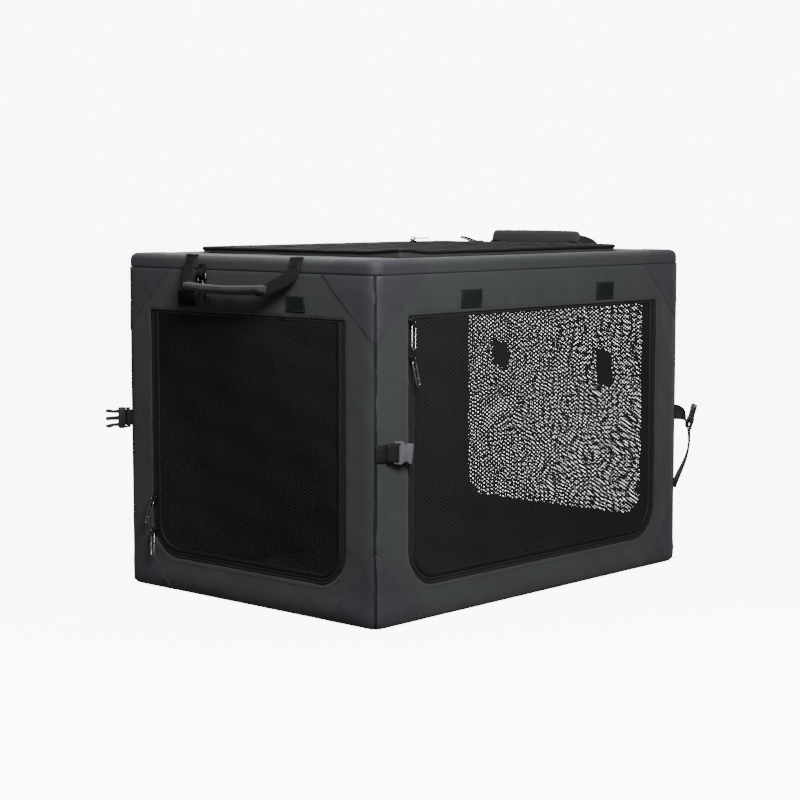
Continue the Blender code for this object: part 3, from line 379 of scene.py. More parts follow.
def subdivided(loop, pitch):
    """A closed loop whose sides are cut into steps of about the pitch."""
    points = []
    for a, b in zip(loop, loop[1:] + loop[:1]):
        count = max(1, int(math.hypot(b[0] - a[0], b[1] - a[1]) / pitch))
        points += [(a[0] + (b[0] - a[0]) * i / count, a[1] + (b[1] - a[1]) * i / count) for i in range(count)]
    return points


def resample(points, step, closed=False):
    """Points evenly along a polyline."""
    path = np.array([tuple(p) for p in points] + [tuple(p) for p in points[:1] if closed])
    lengths = np.append(0.0, np.cumsum(np.linalg.norm(np.diff(path, axis=0), axis=1)))
    count = max(2, int(round(lengths[-1] / step)))
    goals = lengths[-1] * np.arange(count if closed else count + 1) / count
    return [Vector(p) for p in zip(*[np.interp(goals, lengths, values) for values in path.T])]


def curve_points(points, count):
    """A smooth curve through points, with count samples."""
    pts = [Vector(p) for p in points]
    pts = [pts[0] * 2 - pts[1]] + pts + [pts[-1] * 2 - pts[-2]]
    spans = len(pts) - 3
    made = []
    for i in range(count):
        t = i / (count - 1) * spans
        k = min(int(t), spans - 1)
        u = t - k
        p0, p1, p2, p3 = pts[k:k + 4]
        made.append(0.5 * ((2 * p1) + (p2 - p0) * u + (2 * p0 - 5 * p1 + 4 * p2 - p3) * u * u
                           + (3 * p1 - p0 - 3 * p2 + p3) * u ** 3))
    return made


def along_path(points, closed=False):
    """For each point: itself, the path's direction there and how far along it lies."""
    count = len(points)
    run = 0.0
    for i, point in enumerate(points):
        before = points[i - 1] if i or closed else point
        after = points[(i + 1) % count] if i < count - 1 or closed else point
        if i:
            run += (point - points[i - 1]).length
        yield point, (after - before).normalized(), run


def inside_by(points, loop):
    """How far each point lies inside a closed loop; negative outside."""
    pts = np.asarray(points, float)
    best = np.full(len(pts), 1e9)
    inside = np.zeros(len(pts), bool)
    for (ax, ay), (bx, by) in zip(loop, loop[1:] + loop[:1]):
        dx, dy = bx - ax, by - ay
        share = ((pts[:, 0] - ax) * dx + (pts[:, 1] - ay) * dy) / max(dx * dx + dy * dy, 1e-18)
        share = np.clip(share, 0, 1)
        best = np.minimum(best, (pts[:, 0] - ax - share * dx) ** 2 + (pts[:, 1] - ay - share * dy) ** 2)
        if ay != by:
            left = pts[:, 0] < ax + (pts[:, 1] - ay) / (by - ay) * dx
            inside ^= ((ay > pts[:, 1]) != (by > pts[:, 1])) & left
    return np.where(inside, 1, -1) * np.sqrt(best)


def axes(place, x, y):
    """A frame at a place, from its X and Y directions."""
    x, y = Vector(x).normalized(), Vector(y).normalized()
    return Matrix.Translation(Vector(place)) @ Matrix((x, y, x.cross(y))).transposed().to_4x4()


# Fabric, stitches, cords, webbing and nets
class Skin:
    """A flat-cut panel laid on a curved surface, with rolled edges. Zones are (loop, height, material)."""

    def __init__(self, place, outline, holes, zones, relief, roll=0.0014, roll_depth=0.0011):
        self.place = place
        self.outline = outline
        self.holes = holes
        self.zones = zones
        self.relief = relief
        self.roll = roll
        self.roll_depth = roll_depth

    def heights(self, points):
        points = np.asarray(points, float)
        total = self.relief(points)
        for loop, height, _ in self.zones:
            total = total + height * np.clip(inside_by(points, loop) / SEAM_SLOPE, 0, 1)
        near = np.clip(1 - self.border(points) / self.roll, 0, 1)
        return total - self.roll_depth * near * near

    def border(self, points):
        """How far points lie within the panel, whose holes don't belong to it."""
        rims = [inside_by(points, self.outline)] + [-inside_by(points, hole) for hole in self.holes]
        return np.min(rims, axis=0)

    def build(self, name, materials, pitch=PITCH, offset=-1.0):
        loops = []
        for loop, way in [(self.outline, 1)] + [(hole, -1) for hole in self.holes]:
            loops += [offset_loop(loop, way * self.roll * share) for share in ROLL_SHARES]
        for loop, _, _ in self.zones:
            loops += [offset_loop(loop, shift) for shift in (-0.0010, 0.0, SEAM_SLOPE, SEAM_SLOPE + 0.0010)]
        coords = []
        edges = []
        for loop in loops:
            fine = subdivided(loop, pitch)
            first = len(coords)
            coords += fine
            edges += [(first + i, first + (i + 1) % len(fine)) for i in range(len(fine))]
        low, high = np.min(self.outline, axis=0), np.max(self.outline, axis=0)
        grid = np.array([(x, y) for x in np.arange(low[0] + pitch / 2, high[0], pitch)
                         for y in np.arange(low[1] + pitch / 2, high[1], pitch)])
        keep = self.border(grid) > self.roll + pitch * 0.25
        for loop, _, _ in self.zones:
            keep &= np.abs(inside_by(grid, loop)) > pitch * 0.25
        coords += [tuple(p) for p in grid[keep]]
        found = geometry.delaunay_2d_cdt([Vector(p) for p in coords], edges, [], 0, 1e-7)
        points = np.array([(v.x, v.y) for v in found[0]])
        faces = np.array([face for face in found[2] if len(face) == 3])
        centres = points[faces].mean(axis=1)
        use = self.border(centres) > 0
        used, faces = np.unique(faces[use], return_inverse=True)
        points = points[used]
        index = np.zeros(int(use.sum()), int)
        for loop, _, kind in self.zones:
            index[inside_by(centres[use], loop) > 0] = kind
        verts = [self.place(x, y, h) for (x, y), h in zip(points, self.heights(points))]
        mesh = build_mesh(name, verts, faces.reshape(-1, 3).tolist(), points, index.tolist())
        return thicken(new_object(name, mesh, *materials), offset)


def stitch(pile, start, end, normal, width=0.0007, height=0.0005):
    """One stitch: a small thread that rises in its middle and dives at its ends."""
    along = end - start
    side = along.cross(normal)
    if side.length < 1e-12:
        return
    side = side.normalized() * width / 2
    verts = []
    for share, wide, rise in ((0.0, 0.35, 0.05), (0.25, 1.0, 0.85), (0.75, 1.0, 0.85), (1.0, 0.35, 0.05)):
        centre = start + along * share
        low = centre - normal * height * 0.4
        top = centre + normal * height * rise
        verts += [low - side * wide, low + side * wide, top + side * wide * 0.55, top - side * wide * 0.55]
    pile.add(verts, loft(4, 4))


def stitch_row(pile, skin, path, closed=False):
    """Stitches along a path on a skin."""
    points = resample(path, STITCH_STEP, closed)
    heights = skin.heights([tuple(p) for p in points])
    count = len(points)
    for i in range(count if closed else count - 1):
        a, b = points[i], points[(i + 1) % count]
        level = float(heights[i] + heights[(i + 1) % count]) / 2
        start, end = [Vector(skin.place(p.x, p.y, level)) for p in (a, a.lerp(b, STITCH_SHARE))]
        out = Vector(skin.place(a.x, a.y, level + 0.001)) - start
        stitch(pile, start, end, out.normalized())


def sewn(pile, start, end, out, step=0.0032, size=0.0007):
    """A straight row of stitches in space."""
    start, end = Vector(start), Vector(end)
    count = max(1, int((end - start).length / step))
    for i in range(count):
        a, b = start.lerp(end, i / count), start.lerp(end, (i + STITCH_SHARE) / count)
        stitch(pile, a, b, Vector(out).normalized(), size, size * 0.7)


def sweep(name, place, path, profile, cloth, closed=False, ribs=None, lift=None):
    """A profile of (across, off) points swept along a flat path. ribs is (first, last, depth)."""
    points = [Vector((p[0], p[1])) for p in path]
    verts = []
    uvs = []
    for i, (point, along, run) in enumerate(along_path(points, closed)):
        normal = Vector((-along.y, along.x))
        extra = lift(point) if lift else 0.0
        for k, (across, off) in enumerate(profile):
            spot = point + normal * across
            groove = ribs[2] * (i % 2) if ribs and ribs[0] <= k <= ribs[1] else 0.0
            verts.append(place(spot.x, spot.y, off + extra - groove))
            uvs.append((run, across))
    mesh = build_mesh(name, verts, loft(len(points), len(profile), closed), uvs)
    shape = bmesh.new()
    shape.from_mesh(mesh)
    bmesh.ops.recalc_face_normals(shape, faces=shape.faces)
    shape.to_mesh(mesh)
    shape.free()
    return smooth(new_object(name, mesh, cloth), 45.0)


def tube(pile, points, radius, sides=10, closed=False, taper=None):
    """A round wire along points. taper gives its size for a share of the way."""
    points = [Vector(p) for p in points]
    verts = []
    uvs = []
    for i, (point, along, run) in enumerate(along_path(points, closed)):
        if i == 0:
            normal = along.orthogonal().normalized()
        normal = (normal - along * normal.dot(along)).normalized()
        side = along.cross(normal)
        size = radius * (taper(i / (len(points) - 1)) if taper else 1.0)
        for k in range(sides):
            a = math.tau * k / sides
            verts.append(point + normal * (size * math.cos(a)) + side * (size * math.sin(a)))
            uvs.append((run, size * a))
    pile.add(verts, loft(len(points), sides, closed), uvs)


def ribbon(pile, points, sides, width, thickness, taper=None):
    """Webbing along points. sides are the directions across it."""
    rim = [(-1.0, 0.0), (-0.975, 0.7), (-0.92, 1.0), (-0.4, 1.05), (0.4, 1.05), (0.92, 1.0), (0.975, 0.7)]
    section = rim + [(-a, -b) for a, b in rim]
    points = [Vector(p) for p in points]
    verts = []
    uvs = []
    for i, (point, along, run) in enumerate(along_path(points)):
        side = Vector(sides[i])
        side = (side - along * side.dot(along)).normalized()
        normal = along.cross(side)
        half = width / 2 * (taper(i / (len(points) - 1)) if taper else 1.0)
        verts += [point + side * (a * half) + normal * (b * thickness / 2) for a, b in section]
        uvs += [(run, a * half) for a, _ in section]
    pile.add(verts, loft(len(points), len(section), flip=True), uvs)


def slab(pile, outline, low, high, matrix, bevel=0.0006, dome=0.0):
    """A flat shape with rounded rims, from its outline in X and Y. dome raises its top."""
    levels = [(bevel, low), (bevel * 0.3, low + bevel * 0.3), (0.0, low + bevel), (0.0, high - bevel),
              (bevel * 0.3, high - bevel * 0.3), (bevel, high)]
    if dome:
        levels.append((bevel * 3.0, high + dome))
    verts = [matrix @ Vector((x, y, level)) for inset, level in levels
             for x, y in offset_loop(outline, inset)]
    pile.add(verts, loft(len(levels), len(outline)))


def net(name, place, inside, low, high, pitch, strand, bulge, depth=0.00022):
    """A net with six-sided holes as real strands, its columns upright, within a loop."""
    rise = pitch * math.sqrt(3) / 2
    columns = int((high[1] - low[1]) / pitch) + 2
    rows = int((high[0] - low[0]) / rise) + 2
    col, row = np.meshgrid(np.arange(columns), np.arange(rows))
    along = low[1] + (col + 0.5 * (row % 2)) * pitch
    across = low[0] + row * rise
    centres = np.stack([across, along], axis=-1).reshape(-1, 2)
    use = np.pad((inside_by(centres, inside) > 0).reshape(rows, columns), ((0, 1), (1, 1)))
    radius = (pitch - strand) / math.sqrt(3)
    angles = np.radians(30 + 60 * np.arange(6))
    ys = (along[..., None] + radius * np.cos(angles)).ravel()
    xs = (across[..., None] + radius * np.sin(angles)).ravel()
    offs = np.tile(np.where(np.arange(6) % 3 == 1, depth, -depth), rows * columns)

    # A hole and its next ones: beside it, and the two in the next row, which is shifted by half a pitch
    ahead = col + row % 2
    cells = {"here": (row, col), "next": (row, col + 1),
             "ahead": (row + 1, ahead), "behind": (row + 1, ahead - 1)}
    exists = {key: use[r, c + 1] for key, (r, c) in cells.items()}
    first = {key: (r * columns + c) * 6 for key, (r, c) in cells.items()}

    def faces(*corners):
        """One face for each place where all the named holes exist. A corner is (hole, number)."""
        mask = np.logical_and.reduce([exists[key] for key, _ in corners])
        return np.stack([first[key][mask] + k for key, k in corners], -1).tolist()

    strands = faces(("here", 5), ("next", 3), ("next", 2), ("here", 0))
    strands += faces(("here", 0), ("ahead", 4), ("ahead", 3), ("here", 1))
    strands += faces(("here", 1), ("behind", 5), ("behind", 4), ("here", 2))
    strands += faces(("here", 1), ("ahead", 3), ("behind", 5))
    strands += faces(("here", 0), ("next", 2), ("ahead", 4))
    used = np.unique([i for face in strands for i in face])
    order = np.zeros(len(xs), int)
    order[used] = np.arange(len(used))
    xs, ys, offs = xs[used], ys[used], offs[used]
    offs = offs + bulge(xs, ys) + 0.0007 * np.sin(xs * 47 + ys * 83 + 2.1) * np.sin(ys * 39 - xs * 21)
    edge = np.clip(inside_by(np.stack([xs, ys], -1), inside) / 0.03, 0, 1)

    def waves(*terms):
        return edge * sum(size * 0.0001 * np.sin(xs * a + ys * b + shift) for size, a, b, shift in terms)

    xs, ys = (xs + waves((12, 37, 61, 0.7), (9, -43, 97, 0.0), (6, 171, 89, 0.0)),
              ys + waves((11, 53, -31, 1.9), (8, 89, 71, 0.0), (6, -97, 163, 0.0)))
    verts = np.stack(np.broadcast_arrays(*place(xs, ys, offs)), -1)
    mesh = build_mesh(name, verts.tolist(), [tuple(order[face]) for face in map(np.array, strands)],
                      np.stack([xs, ys], -1))
    mesh.shade_smooth()
    return new_object(name, mesh, NET)


# Walls
FACES = {
    "front": (HALF_L, HALF_W, lambda a, o, z: (a, -o, z)),
    "back": (HALF_L, HALF_W, lambda a, o, z: (-a, o, z)),
    "left": (HALF_W, HALF_L, lambda a, o, z: (-o, -a, z)),
    "right": (HALF_W, HALF_L, lambda a, o, z: (o, a, z)),
}
SEEDS = {"front": 3.1, "back": 8.7, "left": 14.3, "right": 21.9}


def wall_place(face):
    """Where a wall's point lies: s across, growing rightwards from outside, z up, and off proud of it."""
    half, other, put = FACES[face]
    straight = half - CORNER

    def place(s, z, off=0.0):
        if z < EDGE:
            off -= EDGE * (1 - math.sqrt(max(0.0, 1 - (1 - z / EDGE) ** 2)))
        extra = abs(s) - straight
        if extra <= 0:
            return put(s, other + off, z)
        turn = extra / CORNER
        return put(math.copysign(straight + (CORNER + off) * math.sin(turn), s),
                   other - CORNER + (CORNER + off) * math.cos(turn), z)
    return place


def wall_edge(face):
    return FACES[face][0] - CORNER + CORNER * math.pi / 4


def corner_zone(face, side, top):
    """A triangular corner patch on one wall."""
    edge = wall_edge(face) + FABRIC
    level = WALL_HIGH + FABRIC if top else WALL_LOW - FABRIC
    far = WALL_HIGH - PATCH_TOP if top else WALL_LOW + PATCH_FOOT
    return anticlockwise([(side * edge, level), (side * (edge - PATCH_LENGTH), level), (side * edge, far)])


def square(x, z, width, height):
    return [(x - width / 2, z - height / 2), (x + width / 2, z - height / 2),
            (x + width / 2, z + height / 2), (x - width / 2, z + height / 2)]


def wall_relief(face, door):
    """Soft waves, swells at the top and bottom, puckers beside the door's zip and a raised upright edge."""
    edge = wall_edge(face)
    seed = SEEDS[face]

    def height(s, z, gap):
        value = 0.0014 * noise_at(s, z, 0.075, seed) + 0.00065 * noise_at(s, z * 0.6, 0.024, seed + 5)
        crease = max(0.0, 1 - 4 * abs(noise_at(s + 0.5 * z, z - 0.3 * s, 0.060, seed + 12)))
        value += 0.0010 * crease * crease
        swell = 0.0026 * math.sin(math.pi * clamp(z / 0.038)) ** 2
        swell += 0.0012 * math.sin(math.pi * clamp((z - 0.362) / 0.041))
        value += swell * clamp((edge - abs(s)) / 0.03) * (1 + 0.5 * noise_at(s, 0.0, 0.05, seed))
        near = max(0.0, 1 - (edge - abs(s)) / 0.014)
        value += near * (0.0006 + 0.0003 * noise_at(0.0, z, 0.010, seed + 2))
        if 0 <= gap < 0.016:
            value += 0.00045 * (1 - gap / 0.016) * noise_at(s * 1.3, z * 1.3, 0.009, seed + 9)
        return value * min(1.0, max(0.1, (WALL_HIGH - z) / 0.016)) * min(1.0, max(0.1, z / 0.012))

    def relief(points):
        gaps = -inside_by(points, door_loop(door)) if door else np.ones(len(points))
        return np.array([height(s, z, gap) for (s, z), gap in zip(points, gaps)])
    return relief


def build_wall(face, door=None, squares=()):
    """One wall with its corner patches, stitches and hems. squares are its hook-and-loop patches."""
    patches = [(side, top, corner_zone(face, side, top)) for side in SIDES for top in (False, True)]
    zones = [(zone, PATCH_RISE, 1) for _, _, zone in patches] + [(loop, SQUARE_RISE, 2) for loop in squares]
    edge = wall_edge(face)
    reach = edge + 0.0002
    outline = [(-reach, WALL_LOW), (reach, WALL_LOW), (reach, WALL_HIGH), (-reach, WALL_HIGH)]
    place = wall_place(face)
    skin = Skin(place, outline, [door_loop(door)] if door else [], zones, wall_relief(face, door))
    settle(skin.build(face + "_cover", (COVER, PATCH, HOOK_LOOP)), "base", (face + "_wall",))
    pile = Pile()
    if door:
        half, _, top = door
        stitch_row(pile, skin, [(-half, top), (-half, top + 0.004), (half, top + 0.004), (half, top)])
        loop = door_loop(door, -0.0042)[:22]
        stitch_row(pile, skin, loop)
        for x, z in (loop[0], loop[-1]):
            stitch_row(pile, skin, [(x, z), (x, top)])
    for side, top, zone in patches:
        way = -1 if top else 1
        inner = min(zone, key=lambda p: abs(p[0]))
        tip = min(zone, key=lambda p: abs(p[1] - HEIGHT / 2))
        stitch_row(pile, skin, [(inner[0] + side * 0.0016, inner[1] + way * 0.003),
                                (tip[0] - side * 0.004, tip[1] - way * 0.0016)])
    for loop in squares:
        stitch_row(pile, skin, offset_loop(loop, 0.0015), closed=True)
    settle(pile.build(face + "_stitching", THREAD), "base")
    hems = []
    for name, level, hem in (("_top", 0.4015, bar(-5.5, 5.0, -3.4, -2.3)),
                             ("_low", 0.0026, bar(-1.0, 1.0, -4.2, -0.6))):
        path = resample([(-edge, level), (edge, level)], PITCH)
        hems.append(sweep(face + name, place, path, hem, TAPE))
    settle(join(face + "_hems", hems), "base")


def build_corner_seams():
    """A narrow double piping that closes each upright edge of the cover."""
    pile = Pile()
    for sx in SIDES:
        for sy in SIDES:
            out = Vector((sx, sy, 0.0)).normalized()
            middle = Vector((sx * (HALF_L - CORNER), sy * (HALF_W - CORNER), 0.0)) + out * (CORNER + 0.0006)
            level = Vector((-out.y, out.x, 0.0))
            for shift in (-0.0011, 0.0011):
                points = []
                for i in range(101):
                    z = 0.0045 + (WALL_HIGH - 0.0040) * i / 100
                    wave = 0.0011 * noise_at(z, sx + 2 * sy, 0.06, 71.0)
                    wave += 0.0004 * noise_at(z, sx + 2 * sy, 0.014, 73.0)
                    points.append(middle + level * (shift + wave) + Vector((0, 0, z)))
                tube(pile, points, 0.0008, 8)
    settle(pile.build("upright_edge_piping", PIPING), "base")


# Roof and floor
def corner_reach(x, y):
    """How far a plan point is from its nearest corner, measured along both sides."""
    return (HALF_L - abs(x)) + (HALF_W - abs(y))


def tray(name, sign, skirt, materials, hole=None, patches=0.0):
    """A rounded fabric tray: sign 1 is the roof and -1 the floor. patches is its corner patches' rise."""
    level = HEIGHT if sign > 0 else 0.0
    straight = skirt - EDGE
    bend = EDGE * QUARTER
    rim = []
    plan = subdivided(rounded((-HALF_L, -HALF_W), (HALF_L, HALF_W), (CORNER,) * 4, (12,) * 4), PITCH)
    for x, y in plan:
        cx = max(-HALF_L + CORNER, min(HALF_L - CORNER, x))
        cy = max(-HALF_W + CORNER, min(HALF_W - CORNER, y))
        rim.append((Vector((cx, cy)), Vector((x - cx, y - cy)).normalized()))
    profile = mm((1.2, 0.0), (0.4, 0.6), (0.0, 1.4)) + [(0.0, straight * 0.4), (0.0, straight * 0.7)]
    profile += [(EDGE - x, straight + y) for x, y in arc((0.0, 0.0), EDGE, 0.0, QUARTER, 6)]
    size = len(profile)
    verts = []
    uvs = []
    run = 0.0
    for i, (centre, normal) in enumerate(rim):
        run += math.dist(plan[i], plan[i - 1]) if i else 0.0
        travelled = 0.0
        for k, (inset, up) in enumerate(profile):
            travelled += math.dist(profile[k], profile[k - 1]) if k else 0.0
            wave = 0.0006 * noise_at(run, up, 0.05, 31.0 + sign) + 0.0003 * noise_at(run, up, 0.016, 37.0)
            reach = corner_reach(*(centre + normal * CORNER)) + travelled
            rise = wave * min(1.0, k / 3.0) + patches * clamp((PATCH_REACH - reach) / 0.0008)
            turn = k / (size - 1) * QUARTER
            spot = centre + normal * (CORNER - inset + rise * math.cos(turn))
            verts.append((spot.x, spot.y, level - sign * (skirt - up - rise * math.sin(turn))))
            uvs.append((run, travelled))
    faces = []
    index = []
    for i, (centre, normal) in enumerate(rim):
        a, b = i * size, (i + 1) % len(rim) * size
        for k in range(size - 1):
            faces.append((a + k, b + k, b + k + 1, a + k + 1)[::sign])
            reach = corner_reach(*(centre + normal * CORNER)) + k / (size - 1) * (straight + bend)
            index.append(1 if patches and reach < PATCH_REACH else 0)
    zones = []
    if patches:
        cut = straight + bend - PATCH_REACH
        shape = ((0.01, 0.01), (cut, 0.01), (cut, 0.0), (0.0, cut), (0.01, cut))
        zones = [(anticlockwise([(sx * (HALF_L + dx), sy * (HALF_W + dy)) for dx, dy in shape]), patches, 1)
                 for sx in SIDES for sy in SIDES]

    def place(x, y, off=0.0):
        return (x, y, level + sign * off)

    def height(x, y):
        ease = clamp(min(HALF_L - EDGE - abs(x), HALF_W - EDGE - abs(y)) / 0.02)
        if sign > 0:
            return (0.0006 * noise_at(x, y, 0.06, 42.0) - 0.0004) * ease
        return -abs(0.0003 * noise_at(x, y, 0.08, 43.0)) * ease

    def relief(points):
        return np.array([height(x, y) for x, y in points])

    outline = [tuple(centre + normal * (CORNER - EDGE)) for centre, normal in rim]
    skin = Skin(place, outline, [hole] if hole else [], zones, relief, 1e-6, 0.0)
    top = skin.build(name + "_face", materials, 0.009, -float(sign))
    side = new_object(name + "_rim", build_mesh(name + "_rim", verts, faces, uvs, index), *materials)
    return join(name + "_cover", [top, thicken(side, -1.0)])


def build_trays():
    roof = tray("roof", 1, ROOF_SKIRT, (LINING, PATCH), roof_loop(0.006), PATCH_RISE)
    settle(roof, "top", ("roof_panel",), False)
    floor = tray("floor", -1, FLOOR_SKIRT, (BASE_CLOTH, PATCH))
    floor.data.transform(Matrix.Diagonal((1 - 0.0029 / HALF_L, 1 - 0.0029 / HALF_W, 1.0, 1.0)))
    settle(floor, "base", ("floor_panel",), False)


# Doors and their zips
def door_path(door, inset, step=0.0011):
    half, sill, top = door[0] - inset, door[1] + inset, door[2]
    radius = DOOR_CORNER - inset
    points = [(-half, top - 0.001)]
    points += arc((-half + radius, sill + radius), radius, math.pi, 3 * QUARTER, 24)
    points += arc((half - radius, sill + radius), radius, 3 * QUARTER, math.tau, 24)
    return resample(points + [(half, top - 0.001)], step)


def build_door(face, door, label, pitch, strand):
    """A wall door: its net, zip, binding and hinge tape, and the strips behind it on the wall."""
    half, sill, top = door
    _, other, put = FACES[face]

    def strip(part, body, path, profile, cloth=TAPE, ribs=None):
        profile = [(across, off - ZIP_DEPTH) for across, off in profile]
        settle(sweep(label + part, wall_place(face), path, profile, cloth, ribs=ribs), body)

    tape = [(0.2, -0.8), (0.2, 0.6), (1.0, 1.1), (2.2, 1.2), (3.4, 0.9)]
    outer = mm(*tape, (4.4, 0.4), (4.8, -0.8))
    inner = mm(*tape, (4.6, 0.3), (5.0, -0.8))
    path = door_path(door, ZIP_LINE)
    strip("_zip_outer", "base", path, [(-across, off) for across, off in outer], ribs=(1, 2, 0.00022))
    strip("_zip_inner", label, path, inner, ribs=(1, 2, 0.00022))
    strip("_binding", label, door_path(door, 0.0108, 0.003), oval(0.0027, 0.0013, 0.0006), PIPING)
    hinge = resample([(-half + 0.009, top - 0.0022), (half - 0.009, top - 0.0022)], 0.006)
    strip("_hinge_tape", label, hinge,
          mm((1.4, -0.6), (1.4, 0.4), (0.9, 0.8), (-0.9, 0.8), (-1.4, 0.4), (-1.4, -0.6)))
    strip("_zip_guard", "base", door_path(door, ZIP_LINE, 0.004), bar(-4.6, 2.2, -1.8, -1.0))
    lintel = resample([(-half + 0.001, top - 0.0020), (half - 0.001, top - 0.0020)], 0.006)
    strip("_hinge_guard", "base", lintel, bar(-1.3, 4.2, -1.8, -1.0))

    # A row of the net's holes lies right under the hinge tape
    inside = door_loop((half, sill, top + 0.0070), 0.0072)
    start = top - 0.0004 - math.ceil((top - sill) / (pitch / 2)) * pitch / 2

    def place(s, z, off):
        return put(s, other - NET_DEPTH + off, z)

    def bulge(xs, ys):
        u = np.clip(1 - (xs / half) ** 2, 0, 1)
        v = np.clip(1 - ((ys - (sill + top) / 2) / ((top - sill) / 2)) ** 2, 0, 1)
        return (0.0012 + 0.0005 * np.sin(xs * 31 + ys * 17)) * u * v

    made = net(label + "_net", place, inside, (-half, start), (half, top), pitch, strand, bulge)
    settle(made, label, (label,))


def build_roof_door():
    """The roof door: its net, piping, skirt and zip tape, and the lip of the opening on the roof."""
    left, right, half, top = ROOF_DOOR

    def place(x, y, off):
        return (x, y, top + off)

    def near_corner(x, y):
        return np.exp(-((x - left) ** 2 + (y + half) ** 2) / 0.035 ** 2)

    def tent(point):
        return 0.0036 * near_corner(*point) + 0.0006 * noise_at(*point, 0.035, 51.0)

    def sag(xs, ys):
        u = np.clip(1 - ((xs - (left + right) / 2) / ((right - left) / 2)) ** 2, 0, 1)
        v = np.clip(1 - (ys / half) ** 2, 0, 1)
        return -0.0022 * u * v + 0.0040 * near_corner(xs, ys) - NET_DEPTH

    def strip(name, path, profile, cloth=LINING, body="roof_door", **more):
        settle(sweep(name, place, path, profile, cloth, True, **more), body, fold=False)

    path = resample(roof_loop(0.0030, 16), 0.0035, True)
    strip("roof_door_piping", path, oval(0.0030, 0.0024, -0.0014), PIPING, lift=tent)
    strip("roof_door_skirt", path, bar(0.6, -1.0, -6.4, -0.8))
    strip("roof_door_hem", path, bar(0.5, -0.9, -4.8, -0.6), lift=tent)
    strip("roof_opening_lip", resample(roof_loop(0.0064, 12), 0.0040, True),
          mm((0.6, -9.0), (0.6, -3.4), (0.0, -3.1), (-0.6, -3.4), (-0.6, -9.0)), body="top")
    tape = mm((-4.8, -2.6), (-4.6, -0.8), (-1.2, -0.4), (-0.3, -0.9))
    tape += [(-across, off) for across, off in reversed(tape)]
    path = resample(roof_loop(0.0105, 16), 0.0013, True)
    strip("roof_door_tape", path, tape, TAPE, ribs=(2, 5, 0.0002), lift=tent)
    inside = roof_loop(0.0120, 12)
    made = net("roof_door_net", place, inside, (left, -half), (right, half), 0.0046, 0.0024, sag)
    settle(made, "roof_door", ("roof_door",), False)


# Zip sliders and their pulls
def slider_outline(scale=1.0):
    half = 0.0040 * scale
    low, high = -0.0055 * scale, 0.0055 * scale
    points = arc((half - 0.0016, low + 0.0016), 0.0016, -QUARTER, 0.0, 4)
    points += [(half * 0.72, 0.0006), (half * 0.70, high - 0.0012)]
    points += arc((0.0, high - 0.0020), 0.0020, 0.2, math.pi - 0.2, 6)
    points += [(-half * 0.70, high - 0.0012), (-half * 0.72, 0.0006)]
    return points + arc((-half + 0.0016, low + 0.0016), 0.0016, math.pi, 3 * QUARTER, 4)


def build_slider(prefix, place, along, out, swing, lean=12):
    """A slider with its bail, and a long wire pull. swing turns the pull in the zip's plane, in degrees."""
    out = Vector(out)
    matrix = axes(Vector(place) + out * 0.0003, Vector(along).cross(out), along)
    body = Pile()
    slab(body, slider_outline(), -0.0004, 0.0012, matrix, 0.0004)
    slab(body, slider_outline(0.94), 0.0021, 0.0033, matrix, 0.0004, 0.0003)
    slab(body, mm((1.2, -4.0), (0.7, 2.0), (-0.7, 2.0), (-1.2, -4.0)), 0.0006, 0.0027, matrix, 0.0002)
    bail = mm((0, -3.6, 2.2), (0, -3.4, 5.6), (0, -1.5, 7.1), (0, 1.5, 7.1), (0, 3.4, 5.6), (0, 3.6, 2.2))
    tube(body, [matrix @ p for p in curve_points(bail, 17)], 0.0008, 8)
    name = prefix + "_slider"
    settle(body.build(name + "_metal", GUNMETAL), name, (name,))
    turn = matrix @ Matrix.Translation((0.0, 0.0016, 0.0046))
    turn = turn @ Matrix.Rotation(math.radians(lean), 4, "X") @ Matrix.Rotation(math.radians(swing), 4, "Z")
    pull = Pile()
    half, length = 0.0028, 0.0280
    loop = rounded((-half, 0.0), (half, length), (0.0026,) * 4, (5,) * 4, 1)
    tube(pull, [turn @ Vector((x, y, 0.0)) for x, y in loop], 0.00085, 8, True)
    for share in (0.30, 0.72):
        tube(pull, [turn @ Vector((x, length * share, 0.0)) for x in (-0.0024, 0.0, 0.0024)], 0.0007, 8)
    name = prefix + "_pull"
    settle(pull.build(name + "_wire", CHROME), name, (name,))


